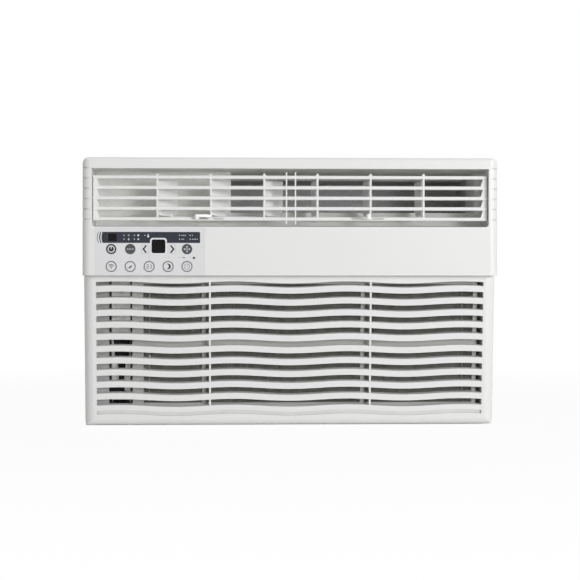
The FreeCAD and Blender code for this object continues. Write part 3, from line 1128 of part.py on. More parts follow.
def drive():
    """Double-ended fan motor in its cradle, the common shaft and the condenser fan."""
    at = (AXLE_X, MOTOR_FRONT, AXLE_Z)
    body = rod(MOTOR_R, (AXLE_X, MOTOR_FRONT + 12, AXLE_Z), (0, 1, 0),
               MOTOR_BACK - MOTOR_FRONT - 24)
    body = body.fuse([rod(MOTOR_R - 8, at, (0, 1, 0), MOTOR_BACK - MOTOR_FRONT)])
    vents = []
    for n in range(12):
        slot = box(AXLE_X - 3, AXLE_X + 3, MOTOR_FRONT - 1, MOTOR_FRONT + 3, AXLE_Z + 22,
                   AXLE_Z + 38)
        vents.append(turned(slot, n * 30, (AXLE_X, 0, AXLE_Z), (0, 1, 0)))
    bore = rod(SHAFT_R + SHAFT_GAP, (AXLE_X, MOTOR_FRONT - 1, AXLE_Z), (0, 1, 0), 99)
    write("fan_motor", body.cut([bore, *vents]))
    write("motor_shaft", rod(SHAFT_R, (AXLE_X, WHEEL_FRONT + 18, AXLE_Z), (0, 1, 0),
                             FAN_BACK + 6 - WHEEL_FRONT - 18))

    strap_out = MOTOR_R + 2.2
    y0 = MOTOR_MIDDLE - 13
    y1 = MOTOR_MIDDLE + 13
    strap = rod(strap_out, (AXLE_X, y0, AXLE_Z), (0, 1, 0), y1 - y0)
    strap = strap.cut(rod(MOTOR_R + 0.2, (AXLE_X, y0 - 1, AXLE_Z), (0, 1, 0), y1 - y0 + 2))
    legs = []
    for sign in (-1, 1):
        inner = AXLE_X + sign * (MOTOR_R + 0.2)
        outer = AXLE_X + sign * strap_out
        toe = AXLE_X + sign * (strap_out + 20)
        legs.append(box(min(inner, outer), max(inner, outer), y0, y1, PAN_TOP, AXLE_Z))
        legs.append(box(min(inner, toe), max(inner, toe), y0, y1, PAN_TOP, PAN_TOP + 2))
    write("motor_bracket", join([strap, *legs]))

    hub = rod(24, (AXLE_X, FAN_FRONT, AXLE_Z), (0, 1, 0), FAN_BACK - FAN_FRONT)
    blade = box(-30, 30, -1.1, 1.1, 18, FAN_R + 2)
    blade = turned(blade, 27, (0, 0, 0), (0, 0, 1))
    blade.translate(V(AXLE_X, (FAN_FRONT + FAN_BACK) / 2, AXLE_Z))
    limit = rod(FAN_R + 1, (AXLE_X, FAN_FRONT + 1, AXLE_Z), (0, 1, 0), FAN_BACK - FAN_FRONT - 2)
    blade = blade.common(limit)
    centre = (AXLE_X, 0, AXLE_Z)
    blades = [turned(blade, n * 360 / FAN_BLADES, centre, (0, 1, 0)) for n in range(FAN_BLADES)]
    ring = rod(FAN_R + FAN_RING, (AXLE_X, FAN_FRONT + 6, AXLE_Z), (0, 1, 0), 16)
    ring = ring.cut(rod(FAN_R, (AXLE_X, FAN_FRONT, AXLE_Z), (0, 1, 0), 40))
    fan = join([hub, ring, *blades])
    write("condenser_fan", fan.cut(rod(SHAFT_R, (AXLE_X, FAN_FRONT - 1, AXLE_Z), (0, 1, 0), 60)))


def fan_shroud():
    """Moulded plate with the fan's orifice and walls that lead the air to the condenser."""
    x0 = CONDENSER["x0"] + 4
    x1 = CONDENSER["x1"] - 4
    z1 = CONDENSER["z1"] - 4
    rear = CONDENSER["y0"] - SEAT_GAP
    plate = box(x0, x1, SHROUD_Y, SHROUD_Y + SHROUD_THICK, PAN_TOP, z1)
    hole_r = FAN_R + FAN_RING + 4
    throat = rod(hole_r + SHROUD_THICK, (AXLE_X, SHROUD_Y - 18, AXLE_Z), (0, 1, 0), 19)
    skirt = box(x0, x1, SHROUD_Y, rear, PAN_TOP, z1)
    skirt = skirt.cut(box(x0 + SHROUD_THICK, x1 - SHROUD_THICK, SHROUD_Y - 1, rear + 1,
                          PAN_TOP + SHROUD_THICK, z1 - SHROUD_THICK))
    orifice = rod(hole_r, (AXLE_X, SHROUD_Y - 30, AXLE_Z), (0, 1, 0), 60)
    return join([plate, throat, skirt]).cut(orifice)


def compressor_group():
    """Rotary compressor on three rubber feet, its accumulator and their steel feet."""
    x, y = COMPRESSOR_X, COMPRESSOR_Y
    foot_z = PAN_TOP + GROMMET_TALL
    shell = rod(COMPRESSOR_R, (x, y, foot_z + 6), (0, 0, 1), COMPRESSOR_TOP - foot_z - 18)
    shell = rounded(shell, 11, lambda e, m: True)
    plate = rod(COMPRESSOR_R - 6, (x, y, foot_z), (0, 0, 1), 12)
    arms = []
    for fx, fy in compressor_feet():
        pad = rod(11, (fx, fy, foot_z), (0, 0, 1), 3)
        away = V(fx - x, fy - y, 0).normalize()
        across = V(-away.y, away.x, 0) * 11
        inner = V(x, y, foot_z) + away * 20
        outer = V(fx, fy, foot_z)
        corners = [inner - across, outer - across, outer + across, inner + across]
        arm = Part.Face(Part.makePolygon([*corners, corners[0]])).extrude(V(0, 0, 3))
        arms += [pad, arm]
    cap = rod(9, (x, y + 14, COMPRESSOR_TOP - 14), (0, 0, 1), 10)
    body = join([shell, plate, cap, *arms])
    holes = [rod(STUD_R + 0.8, (fx, fy, 0), (0, 0, 1), 60) for fx, fy in compressor_feet()]
    outlet = rod(4.3, (x, y - 20, COMPRESSOR_TOP - 14), (0, 0, 1), 20)
    write("compressor", body.cut([*holes, outlet]))
    grommets = []
    nuts = []
    for fx, fy in compressor_feet():
        ring = rod(9.5, (fx, fy, PAN_TOP), (0, 0, 1), GROMMET_TALL)
        waist = rod(12, (fx, fy, PAN_TOP + 5), (0, 0, 1), 4).cut(
            rod(8, (fx, fy, PAN_TOP + 4), (0, 0, 1), 6))
        ring = ring.cut(waist)
        grommets.append(ring.cut(rod(STUD_R + 0.1, (fx, fy, 0), (0, 0, 1), 60)))
        nut_z = foot_z + 3
        hexagon = [V(fx + 6.5 * math.cos(math.radians(60 * n)),
                     fy + 6.5 * math.sin(math.radians(60 * n)), nut_z) for n in range(7)]
        nut = Part.Face(Part.makePolygon(hexagon)).extrude(V(0, 0, 5))
        nuts.append(nut.cut(rod(STUD_R + 0.05, (fx, fy, nut_z - 1), (0, 0, 1), 9)))
    write("compressor_grommets", Part.makeCompound(grommets))
    write("compressor_nuts", Part.makeCompound(nuts))

    can = rod(ACCUMULATOR_R, (ACCUMULATOR_X, ACCUMULATOR_Y, 70), (0, 0, 1), 110)
    can = rounded(can, 8, lambda e, m: True)
    neck = rod(SUCTION_R + 1.2, (ACCUMULATOR_X, ACCUMULATOR_Y, 178), (0, 0, 1), 9)
    gap_x = ACCUMULATOR_X - COMPRESSOR_X - COMPRESSOR_R
    clamp = box(ACCUMULATOR_X - gap_x - 3, ACCUMULATOR_X - 10, ACCUMULATOR_Y - 24,
                ACCUMULATOR_Y - 10, 118, 126)
    clamp = clamp.cut(rod(COMPRESSOR_R + 0.1, (x, y, 100), (0, 0, 1), 60))
    can = join([can, neck, clamp])
    mouth = rod(SUCTION_R + 0.1, (ACCUMULATOR_X, ACCUMULATOR_Y, 182), (0, 0, 1), 9)
    write("accumulator", can.cut(mouth))


def refrigerant_lines():
    """Suction line, discharge line and the thin capillary tube."""
    evap_end = EVAPORATOR["x0"] - END_PLATE
    cond_end = CONDENSER["x0"] - END_PLATE
    top = SUCTION_TOP_Z
    bend = BULKHEAD_Y + 27
    suction = pipe([
        (SUCTION_X, EVAPORATOR["y0"] + 23, SUCTION_Z), (SUCTION_X, bend, SUCTION_Z),
        (SUCTION_X, bend, top), (ACCUMULATOR_X, ACCUMULATOR_Y - 50, top),
        (ACCUMULATOR_X, ACCUMULATOR_Y, top), (ACCUMULATOR_X, ACCUMULATOR_Y, 182),
    ], SUCTION_R, 12)
    stub = rod(SUCTION_R, (evap_end, EVAPORATOR["y0"] + 23, SUCTION_Z), (-1, 0, 0),
               evap_end - SUCTION_X)
    knee = Part.makeSphere(SUCTION_R, V(SUCTION_X, EVAPORATOR["y0"] + 23, SUCTION_Z))
    write("suction_line", join([suction, stub, knee]))
    side = SIDE_LINE_X
    start = COMPRESSOR_Y - 20
    discharge = pipe([
        (COMPRESSOR_X, start, COMPRESSOR_TOP - 14), (COMPRESSOR_X, start, LINE_TOP_Z),
        (side, start, LINE_TOP_Z), (side, DISCHARGE_Y, LINE_TOP_Z),
        (side, DISCHARGE_Y, DISCHARGE_Z),
    ], DISCHARGE_R, 10)
    elbow = Part.makeSphere(DISCHARGE_R, V(side, DISCHARGE_Y, DISCHARGE_Z))
    entry = rod(DISCHARGE_R, (cond_end, DISCHARGE_Y, DISCHARGE_Z), (-1, 0, 0), cond_end - side)
    write("discharge_line", join([discharge, elbow, entry]))
    x = CAPILLARY_X
    tap_y = CONDENSER["y0"] + 4
    side = SIDE_LINE_X - 1
    far, middle, near = BULKHEAD_Y + 109, BULKHEAD_Y + 69, BULKHEAD_Y + 29
    head = EVAPORATOR["z1"] - 10
    capillary = pipe([
        (cond_end, tap_y, 40), (side, tap_y, 40), (side, far, 40), (side, far, 120),
        (side, middle, 120), (side, middle, 60), (side, near, 60), (side, near, CAPILLARY_Z),
        (x, near, CAPILLARY_Z), (x, EVAPORATOR["y0"] + 13, CAPILLARY_Z),
        (x, EVAPORATOR["y0"] + 13, head), (evap_end, EVAPORATOR["y0"] + 13, head),
    ], CAPILLARY_R, 3)
    write("capillary_tube", capillary)


def front_electrics():
    """Control box with its capacitor, the return-air probe, the foam seal and cord grommet."""
    x0, x1 = BOX_LEFT, BOX_RIGHT
    y0, y1 = BOX_FRONT, BOX_BACK
    z0, z1 = BOX_LOW, BOX_HIGH
    middle = (x0 + x1) / 2
    shell = box(x0, x1, y0, y1, z0, z1)
    shell = shell.cut(box(x0 + 1, x1 - 1, y0 + 1, y1 - 1, z0 + 1, z1 - 1))
    foot = box(x0, x1, y0 + 10, y1 - 10, PAN_TOP, z0 + 0.5)
    foot = foot.cut(box(x0 + 1, x1 - 1, y0, y1, PAN_TOP + 1, z0 - 1))
    door = box(x0 + 3, x1 - 3, y1 - 2, y1 + 1, z0 + 20, z1 - 20)
    cord_y = y0 + 66
    inlet = rod(5.5, (x0 - 1, cord_y, 60), (1, 0, 0), 3)
    write("control_box", join([shell, foot]).cut([door, inlet]))
    can = rod(9.5, (middle, y0 + 39, z0 + 1), (0, 0, 1), 80)
    lugs = [box(x - 1, x + 1, y0 + 36, y0 + 42, z0 + 80, z0 + 88)
            for x in (middle - 4, middle + 4)]
    write("run_capacitor", join([can, *lugs]))
    collar = rod(8, (x0 - 3, cord_y, 60), (1, 0, 0), 3)
    sleeve = rod(5.4, (x0 - 3, cord_y, 60), (1, 0, 0), 7)
    hole = rod(4, (x0 - 9, cord_y, 60), (1, 0, 0), 20)
    write("cord_grommet", join([collar, sleeve]).cut(hole))
    write("foam_seal", foam_seal(middle, y0))
    bulb = rod(3, (EVAPORATOR["x0"] + 22, EVAPORATOR["y0"] - 4.6, 120), (0, 0, 1), 40)
    clip = box(EVAPORATOR["x0"] + 19, EVAPORATOR["x0"] + 25, EVAPORATOR["y0"] - 4.6,
               EVAPORATOR["y0"] + END_PLATE_LIP, 136, 140)
    write("temperature_probe", join([rounded(bulb, 1.5, lambda e, m: True), clip]))


def foam_seal(x, y):
    """A soft pad stuck to the control box, wide at the head and foot with a narrow waist."""
    head = [(x - 9.5, 110), (x + 11.5, 110), (x + 9.5, 79), (x + 6, 77), (x + 3.5, 62),
            (x - 2.5, 62), (x - 4, 77), (x - 6.5, 79)]
    foot = [(x - 2.5, 63), (x + 3.5, 63), (x + 3.5, 50), (x + 5, 34), (x - 11, 34),
            (x - 11, 48), (x - 2.5, 50)]
    strap = box(x - 11, x + 11, y - 2, y, 51, 54)
    return join([prism_y(head, y - 4, y), prism_y(foot, y - 4, y), strap])


def chassis_small_parts():
    """Drain tray under the evaporator and the nipple that drains the pan."""
    e = EVAPORATOR
    tray = box(e["x0"] - 14, e["x1"] + 14, e["y0"] + 3, e["y1"] + 4, PAN_TOP, 30)
    well = box(e["x0"] - 10, e["x1"] + 10, e["y0"] + 0.5, e["y1"] + 0.5, e["z0"], 40)
    write("drain_tray", tray.cut(well))
    inside_y = PAN_REAR - PAN_SHEET
    spigot = rod(DRAIN_R - 0.05, (DRAIN_X, inside_y, DRAIN_Z), (0, 1, 0), REAR - inside_y)
    collar = rod(DRAIN_R + DRAIN_COLLAR - 0.05, (DRAIN_X, inside_y, DRAIN_Z), (0, 1, 0),
                 PAN_SHEET + DRAIN_COLLAR)
    flange = rod(DRAIN_R + 2 * DRAIN_COLLAR, (DRAIN_X, inside_y - 1.5, DRAIN_Z), (0, 1, 0), 1.5)
    bore = rod(DRAIN_R - 2, (DRAIN_X, PAN_REAR - 9, DRAIN_Z), (0, 1, 0), 40)
    write("drain_nipple", join([spigot, collar, flange]).cut(bore))


# ---------------------------------------------------------------- write every piece
write("front_bezel", front_bezel())
control_panel()
write("louver_frame", louver_frame())
vanes_and_links()
intake_grille()
write("outlet_duct", outlet_duct())
write("scroll_housing", scroll_housing())
write("inlet_ring", inlet_ring())
write("blower_wheel", blower_wheel())
write("evaporator_coil", coil_pack(EVAPORATOR))
write("evaporator_tubes", coil_bends(EVAPORATOR, 7))
write("condenser_coil", coil_pack(CONDENSER, FIN_GROOVE_COUNT))
write("condenser_tubes", coil_bends(CONDENSER, 11, skip_left=(10,)))
write("bulkhead", bulkhead())
drive()
write("fan_shroud", fan_shroud())
compressor_group()
refrigerant_lines()
front_electrics()
chassis_small_parts()
write("base_pan", base_pan())
write("outer_case", outer_case())
write("rear_grille", rear_grille())
screws()
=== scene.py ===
"""Window air conditioner: looks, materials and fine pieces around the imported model."""

import math

import bmesh
import bpy
from mathutils import Matrix, Vector


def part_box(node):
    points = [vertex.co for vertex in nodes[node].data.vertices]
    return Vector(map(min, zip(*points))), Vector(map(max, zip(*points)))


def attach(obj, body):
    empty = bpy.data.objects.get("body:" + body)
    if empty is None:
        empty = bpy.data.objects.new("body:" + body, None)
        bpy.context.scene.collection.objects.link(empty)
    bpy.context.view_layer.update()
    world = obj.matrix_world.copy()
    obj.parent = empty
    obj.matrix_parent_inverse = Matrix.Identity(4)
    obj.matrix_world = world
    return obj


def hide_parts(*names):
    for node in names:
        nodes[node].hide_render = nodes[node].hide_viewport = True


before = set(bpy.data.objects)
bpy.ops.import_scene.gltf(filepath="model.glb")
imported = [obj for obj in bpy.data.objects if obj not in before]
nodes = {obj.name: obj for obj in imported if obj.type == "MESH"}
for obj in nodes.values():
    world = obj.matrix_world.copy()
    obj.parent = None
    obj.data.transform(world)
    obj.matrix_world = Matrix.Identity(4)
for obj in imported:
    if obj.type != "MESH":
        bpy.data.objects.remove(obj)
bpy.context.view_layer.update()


# ---- Studio: a plain white sweep under soft daylight-balanced panels ----------------------------
# The unit stands on the floor of a small studio. A strong soft panel low to the right, a weak one
# to the left and one overhead light it, with an even surround; the lens looks almost square on.
def put(tree, kind, sockets=None, **options):
    """Adds a shader node; each socket takes a value or a link from another node's output."""
    node = tree.nodes.new("ShaderNode" + kind)
    for option, value in options.items():
        setattr(node, option, value)
    for label, value in (sockets or {}).items():
        if isinstance(value, bpy.types.NodeSocket):
            tree.links.new(value, node.inputs[label])
        else:
            node.inputs[label].default_value = value
    return node


def seen_directly(tree):
    """1 where the lens, a mirror reflection or a look through glass meets the surface, else 0."""
    path = put(tree, "LightPath")
    both = put(tree, "Math", {0: path.outputs["Is Camera Ray"], 1: path.outputs["Is Glossy Ray"]},
               operation="MAXIMUM")
    return put(tree, "Math", {0: both.outputs[0], 1: path.outputs["Is Transmission Ray"]},
               operation="MAXIMUM").outputs[0]


scene = bpy.context.scene
scene.view_settings.view_transform = "Standard"

surround = bpy.data.worlds.new("studio_surround")
surround.use_nodes = True
surround.node_tree.nodes.clear()
air = surround.node_tree
SURROUND_LEVEL = 0.35
level = put(air, "MapRange", {"Value": seen_directly(air), "To Min": SURROUND_LEVEL, "To Max": 1.0})
sky = put(air, "Background", {"Color": (1.0, 1.0, 1.0, 1.0), "Strength": level.outputs[0]})
put(air, "OutputWorld", {"Surface": sky.outputs[0]})
scene.world = surround

FLOOR_SIDE = 14.0
FLOOR_PAPER = (0.92, 0.92, 0.92, 1.0)
SHADOW_DEPTH = 0.06
SHADOW_FROM = 0.45
SHADOW_TO = 1.1
floor_mesh = bmesh.new()
bmesh.ops.create_grid(floor_mesh, x_segments=1, y_segments=1, size=FLOOR_SIDE / 2)
floor_data = bpy.data.meshes.new("studio_floor")
floor_mesh.to_mesh(floor_data)
floor_mesh.free()
floor = bpy.data.objects.new("studio_floor", floor_data)
scene.collection.objects.link(floor)
paper = bpy.data.materials.new("studio_paper")
paper.use_nodes = True
paper.node_tree.nodes.clear()
sheet = paper.node_tree
matt = put(sheet, "BsdfDiffuse", {"Color": FLOOR_PAPER})
glow = put(sheet, "Emission", {"Color": (1.0, 1.0, 1.0, 1.0), "Strength": 1.0})
spot = put(sheet, "TexCoord").outputs["Object"]
away = put(sheet, "VectorMath", {0: spot}, operation="LENGTH").outputs["Value"]
white = put(sheet, "MapRange", {"Value": away, "From Min": SHADOW_FROM, "From Max": SHADOW_TO,
                                "To Min": 1.0 - SHADOW_DEPTH, "To Max": 1.0}).outputs[0]
share = put(sheet, "Math", {0: seen_directly(sheet), 1: white}, operation="MULTIPLY")
both = put(sheet, "MixShader", {0: share.outputs[0], 1: matt.outputs[0], 2: glow.outputs[0]})
put(sheet, "OutputMaterial", {"Surface": both.outputs[0]})
floor.data.materials.append(paper)


def soft_panel(name, place, aim, side, power):
    """A square soft light at place, turned towards aim."""
    lamp = bpy.data.lights.new(name, "AREA")
    lamp.shape = "SQUARE"
    lamp.size = side
    lamp.energy = power
    panel = bpy.data.objects.new(name, lamp)
    panel.location = place
    panel.rotation_euler = (Vector(aim) - Vector(place)).to_track_quat("-Z", "Y").to_euler()
    scene.collection.objects.link(panel)


soft_panel("key_panel", (2.0, -3.1, 0.62), (0.0, -0.2, 0.15), 1.1, 65.5)
soft_panel("left_panel", (-1.2, -3.1, 0.50), (0.0, -0.2, 0.15), 0.8, 4.5)
soft_panel("top_panel", (0.2, -0.6, 2.4), (0.0, -0.1, 0.2), 1.8, 7.0)

lens = bpy.data.cameras.new("view")
lens.sensor_width = 36.0
lens.lens = 81.11
lens.shift_x = 0.0397
lens.shift_y = -0.0119
camera = bpy.data.objects.new("view", lens)
camera.location = (-0.081, -1.8, 0.1746)
camera.rotation_euler = (math.radians(90.0), 0.0, math.radians(-1.9))
scene.collection.objects.link(camera)
scene.camera = camera


# ---- Base pan, bulkhead and other bare sheet: galvanised steel ----------------------------------
# The pan is a deep-drawn tray of zinc-coated steel that carries everything else. The bulkhead, the
# motor cradle and the control box are folded from the same coated sheet and spot welded or screwed.
FLOAT = "NodeSocketFloat"
COLOUR = "NodeSocketColor"


def open_group(name, takes, gives):
    """A new shader node group with its sockets; returns it with its two end nodes."""
    group = bpy.data.node_groups.new(name, "ShaderNodeTree")
    for label, kind, value in takes:
        socket = group.interface.new_socket(label, in_out="INPUT", socket_type=kind)
        socket.default_value = value
    for label, kind in gives:
        group.interface.new_socket(label, in_out="OUTPUT", socket_type=kind)
    return group, group.nodes.new("NodeGroupInput"), group.nodes.new("NodeGroupOutput")


def blend(tree, factor, first, second):
    """Mixes two colours by a factor and returns the colour socket."""
    return put(tree, "Mix", {0: factor, 6: first, 7: second}, data_type="RGBA").outputs[2]


def spread(tree, value, low, high, to_low=0.0, to_high=1.0):
    """Rescales a value from one range to another, clamped."""
    return put(tree, "MapRange", {"Value": value, "From Min": low, "From Max": high,
                                  "To Min": to_low, "To Max": to_high}).outputs[0]


def calculate(tree, operation, first, second):
    """One arithmetic step on two values."""
    return put(tree, "Math", {0: first, 1: second}, operation=operation).outputs[0]


def spangle_group():
    """Zinc spangle: crystal patches of slightly different grey and gloss, with a rolling grain."""
    group, given, result = open_group("Zinc spangle", [
        ("Colour", COLOUR, (0.5, 0.5, 0.5, 1)), ("Dull Colour", COLOUR, (0.3, 0.3, 0.3, 1)),
        ("Crystal Scale", FLOAT, 90.0), ("Roughness", FLOAT, 0.4)],
        [("Colour", COLOUR), ("Roughness", FLOAT), ("Height", FLOAT)])
    place = put(group, "TexCoord").outputs["Object"]
    crystal = put(group, "TexVoronoi", {"Vector": place, "Scale": given.outputs["Crystal Scale"]})
    shade = put(group, "SeparateColor", {"Color": crystal.outputs["Color"]}).outputs[0]
    haze = put(group, "TexNoise", {"Vector": place, "Scale": 14.0, "Detail": 4.0}).outputs[0]
    both = calculate(group, "MULTIPLY", shade, spread(group, haze, 0.3, 0.7, 0.35, 1.0))
    mixed = blend(group, both, given.outputs["Colour"], given.outputs["Dull Colour"])
    rough = calculate(group, "ADD", given.outputs["Roughness"],
                      spread(group, shade, 0.0, 1.0, -0.08, 0.08))
    group.links.new(mixed, result.inputs["Colour"])
    group.links.new(rough, result.inputs["Roughness"])
    group.links.new(both, result.inputs["Height"])
    return group


def edge_group():
    """Edges that handling has rubbed: a colour shift where faces meet, broken up by grain."""
    group, given, result = open_group("Rubbed edges", [
        ("Colour", COLOUR, (0.5, 0.5, 0.5, 1)), ("Edge Colour", COLOUR, (0.7, 0.7, 0.7, 1)),
        ("Reach", FLOAT, 0.001), ("Amount", FLOAT, 0.5)],
        [("Colour", COLOUR), ("Mask", FLOAT)])
    place = put(group, "TexCoord").outputs["Object"]
    rounded = put(group, "Bevel", {"Radius": given.outputs["Reach"]}, samples=4)
    facing = put(group, "NewGeometry").outputs["Normal"]
    match = put(group, "VectorMath", {0: rounded.outputs[0], 1: facing},
                operation="DOT_PRODUCT").outputs["Value"]
    near = spread(group, match, 0.995, 0.86)
    grain = put(group, "TexNoise", {"Vector": place, "Scale": 220.0, "Detail": 3.0}).outputs[0]
    broken = calculate(group, "MULTIPLY", near, spread(group, grain, 0.38, 0.6, 0.3, 1.0))
    mask = calculate(group, "MULTIPLY", broken, given.outputs["Amount"])
    group.links.new(blend(group, mask, given.outputs["Colour"], given.outputs["Edge Colour"]),
                    result.inputs["Colour"])
    group.links.new(mask, result.inputs["Mask"])
    return group


def dust_group():
    """Fine dust settled on whatever faces up."""
    group, given, result = open_group("Settled dust", [
        ("Colour", COLOUR, (0.5, 0.5, 0.5, 1)), ("Dust Colour", COLOUR, (0.55, 0.53, 0.5, 1)),
        ("Amount", FLOAT, 0.2)], [("Colour", COLOUR), ("Mask", FLOAT)])
    place = put(group, "TexCoord").outputs["Object"]
    facing = put(group, "NewGeometry").outputs["Normal"]
    up = put(group, "SeparateXYZ", {0: facing}).outputs["Z"]
    drift = put(group, "TexNoise", {"Vector": place, "Scale": 38.0, "Detail": 5.0}).outputs[0]
    lying = calculate(group, "MULTIPLY", spread(group, up, 0.4, 1.0),
                      spread(group, drift, 0.35, 0.7, 0.25, 1.0))
    mask = calculate(group, "MULTIPLY", lying, given.outputs["Amount"])
    group.links.new(blend(group, mask, given.outputs["Colour"], given.outputs["Dust Colour"]),
                    result.inputs["Colour"])
    group.links.new(mask, result.inputs["Mask"])
    return group


def recess_shade_group():
    """Painted shade: grooves and inside corners darkened by how hemmed in they are, broken up by
    noise.
    """
    group, given, result = open_group("Recess painted shade", [
        ("Colour", COLOUR, (0.8, 0.8, 0.8, 1)), ("Grime Colour", COLOUR, (0.4, 0.4, 0.38, 1)),
        ("Amount", FLOAT, 0.5)], [("Colour", COLOUR), ("Mask", FLOAT)])
    place = put(group, "TexCoord").outputs["Object"]
    hollow = put(group, "AmbientOcclusion", {"Distance": 0.0045}, samples=4,
                 only_local=True).outputs["AO"]
    cloud = put(group, "TexNoise", {"Vector": place, "Scale": 90.0, "Detail": 3.0}).outputs[0]
    shaded_recess = calculate(group, "MULTIPLY", spread(group, hollow, 0.9, 0.45),
                         spread(group, cloud, 0.3, 0.7, 0.7, 1.0))
    mask = calculate(group, "MULTIPLY", shaded_recess, given.outputs["Amount"])
    group.links.new(blend(group, mask, given.outputs["Colour"], given.outputs["Grime Colour"]),
                    result.inputs["Colour"])
    group.links.new(mask, result.inputs["Mask"])
    return group


zinc_spangle = spangle_group()
rubbed_edges = edge_group()
settled_dust = dust_group()
painted_recess_shade = recess_shade_group()


def grouped(tree, group, **sockets):
    """Places a node group; underscores in a socket's keyword stand for spaces."""
    node = tree.nodes.new("ShaderNodeGroup")
    node.node_tree = group
    for label, value in sockets.items():
        socket = node.inputs[label.replace("_", " ")]
        if isinstance(value, bpy.types.NodeSocket):
            tree.links.new(value, socket)
        else:
            socket.default_value = value
    return node


def opaque(red, green, blue):
    """A colour with full alpha."""
    return (red, green, blue, 1.0)


def complete(material, base, bump, edge, edge_reach, dust, painted_shade=0.0):
    """Runs a base pattern through rubbed edges, painted recess shade and dust into the shader, with
    its bump.
    """
    tree = material.node_tree
    shader = tree.nodes["Principled BSDF"]
    worn = grouped(tree, rubbed_edges, Colour=base.outputs["Colour"], Edge_Colour=edge[0],
                   Reach=edge_reach, Amount=edge[1])
    # Painted shade: grooves and inside corners are darkened towards the shade colour.
    if painted_shade:
        worn = grouped(tree, painted_recess_shade, Colour=worn.outputs["Colour"],
                       Grime_Colour=RECESS_SHADE_COLOUR, Amount=painted_shade)
    dusted = grouped(tree, settled_dust, Colour=worn.outputs["Colour"], Dust_Colour=dust[0],
                     Amount=dust[1])
    tree.links.new(dusted.outputs["Colour"], shader.inputs["Base Color"])
    dull = calculate(tree, "ADD", base.outputs["Roughness"],
                     calculate(tree, "MULTIPLY", dusted.outputs["Mask"], 0.5))
    tree.links.new(dull, shader.inputs["Roughness"])
    relief = put(tree, "Bump", {"Height": base.outputs["Height"], "Distance": bump,
                                "Strength": 0.6})
    tree.links.new(relief.outputs[0], shader.inputs["Normal"])


DUST = opaque(0.50, 0.48, 0.44)
# The colour that grooves and inside corners are darkened to: painted shade.
RECESS_SHADE_COLOUR = opaque(0.34, 0.34, 0.33)


def zinc_sheet(name, colour, dull, crystal, roughness, dust):
    """Hot-dip zinc-coated steel sheet."""
    material = bpy.data.materials.new(name)
    material.use_nodes = True
    tree = material.node_tree
    tree.nodes["Principled BSDF"].inputs["Metallic"].default_value = 0.9
    base = grouped(tree, zinc_spangle, Colour=colour, Dull_Colour=dull, Crystal_Scale=crystal,
                   Roughness=roughness)
    complete(material, base, 0.00004, (opaque(0.72, 0.73, 0.74), 0.5), 0.0012, (DUST, dust))
    return material


def dress(material, *names):
    """Gives carried-over pieces their finish."""
    for name in names:
        for slot in nodes[name].material_slots:
            slot.material = material


galvanised = zinc_sheet("galvanised_sheet", opaque(0.56, 0.57, 0.58), opaque(0.34, 0.35, 0.36),
                        85.0, 0.38, 0.35)
dress(galvanised, "base_pan", "bulkhead", "motor_bracket")
plain_sheet = zinc_sheet("skin_passed_sheet", opaque(0.80, 0.80, 0.79), opaque(0.68, 0.68, 0.67),
                         160.0, 0.46, 0.15)
dress(plain_sheet, "control_box")
bright_zinc = zinc_sheet("bright_zinc_plate", opaque(0.66, 0.66, 0.64), opaque(0.48, 0.48, 0.44),
                         400.0, 0.28, 0.1)
dress(bright_zinc, "compressor_nuts", "bezel_screws", "case_screws")
turned_steel = zinc_sheet("turned_steel", opaque(0.55, 0.55, 0.55), opaque(0.36, 0.35, 0.34),
                          700.0, 0.24, 0.05)
dress(turned_steel, "motor_shaft")


# ---- Painted and moulded parts inside: motor, compressor, fan, shroud ---------------------------
# The compressor shell and the motor are welded or pressed steel under sprayed enamel. The fan, the
# shroud, the blower and its inlet ring are injection mouldings. All are bolted to the pan.
def moulding_group():
    """Even colour with faint flow patches, a fine spark-eroded grain and uneven gloss."""
    group, given, result = open_group("Moulded skin", [
        ("Colour", COLOUR, (0.5, 0.5, 0.5, 1)), ("Tint", COLOUR, (0.4, 0.4, 0.4, 1)),
        ("Patch Scale", FLOAT, 9.0), ("Tint Amount", FLOAT, 0.5), ("Grain Scale", FLOAT, 1400.0),
        ("Roughness", FLOAT, 0.4), ("Gloss Spread", FLOAT, 0.1)],
        [("Colour", COLOUR), ("Roughness", FLOAT), ("Height", FLOAT)])
    place = put(group, "TexCoord").outputs["Object"]
    patch = put(group, "TexNoise", {"Vector": place, "Scale": given.outputs["Patch Scale"],
                                    "Detail": 4.0, "Roughness": 0.55}).outputs[0]
    grain = put(group, "TexNoise", {"Vector": place, "Scale": given.outputs["Grain Scale"],
                                    "Detail": 2.0}).outputs[0]
    tinted = calculate(group, "MULTIPLY", spread(group, patch, 0.3, 0.7),
                       given.outputs["Tint Amount"])
    gloss = calculate(group, "MULTIPLY", spread(group, patch, 0.25, 0.75, -0.5, 0.5),
                      given.outputs["Gloss Spread"])
    speck = spread(group, grain, 0.3, 0.7, -0.03, 0.03)
    rough = calculate(group, "ADD", given.outputs["Roughness"],
                      calculate(group, "ADD", gloss, speck))
    group.links.new(blend(group, tinted, given.outputs["Colour"], given.outputs["Tint"]),
                    result.inputs["Colour"])
    group.links.new(rough, result.inputs["Roughness"])
    group.links.new(grain, result.inputs["Height"])
    return group


moulded_skin = moulding_group()


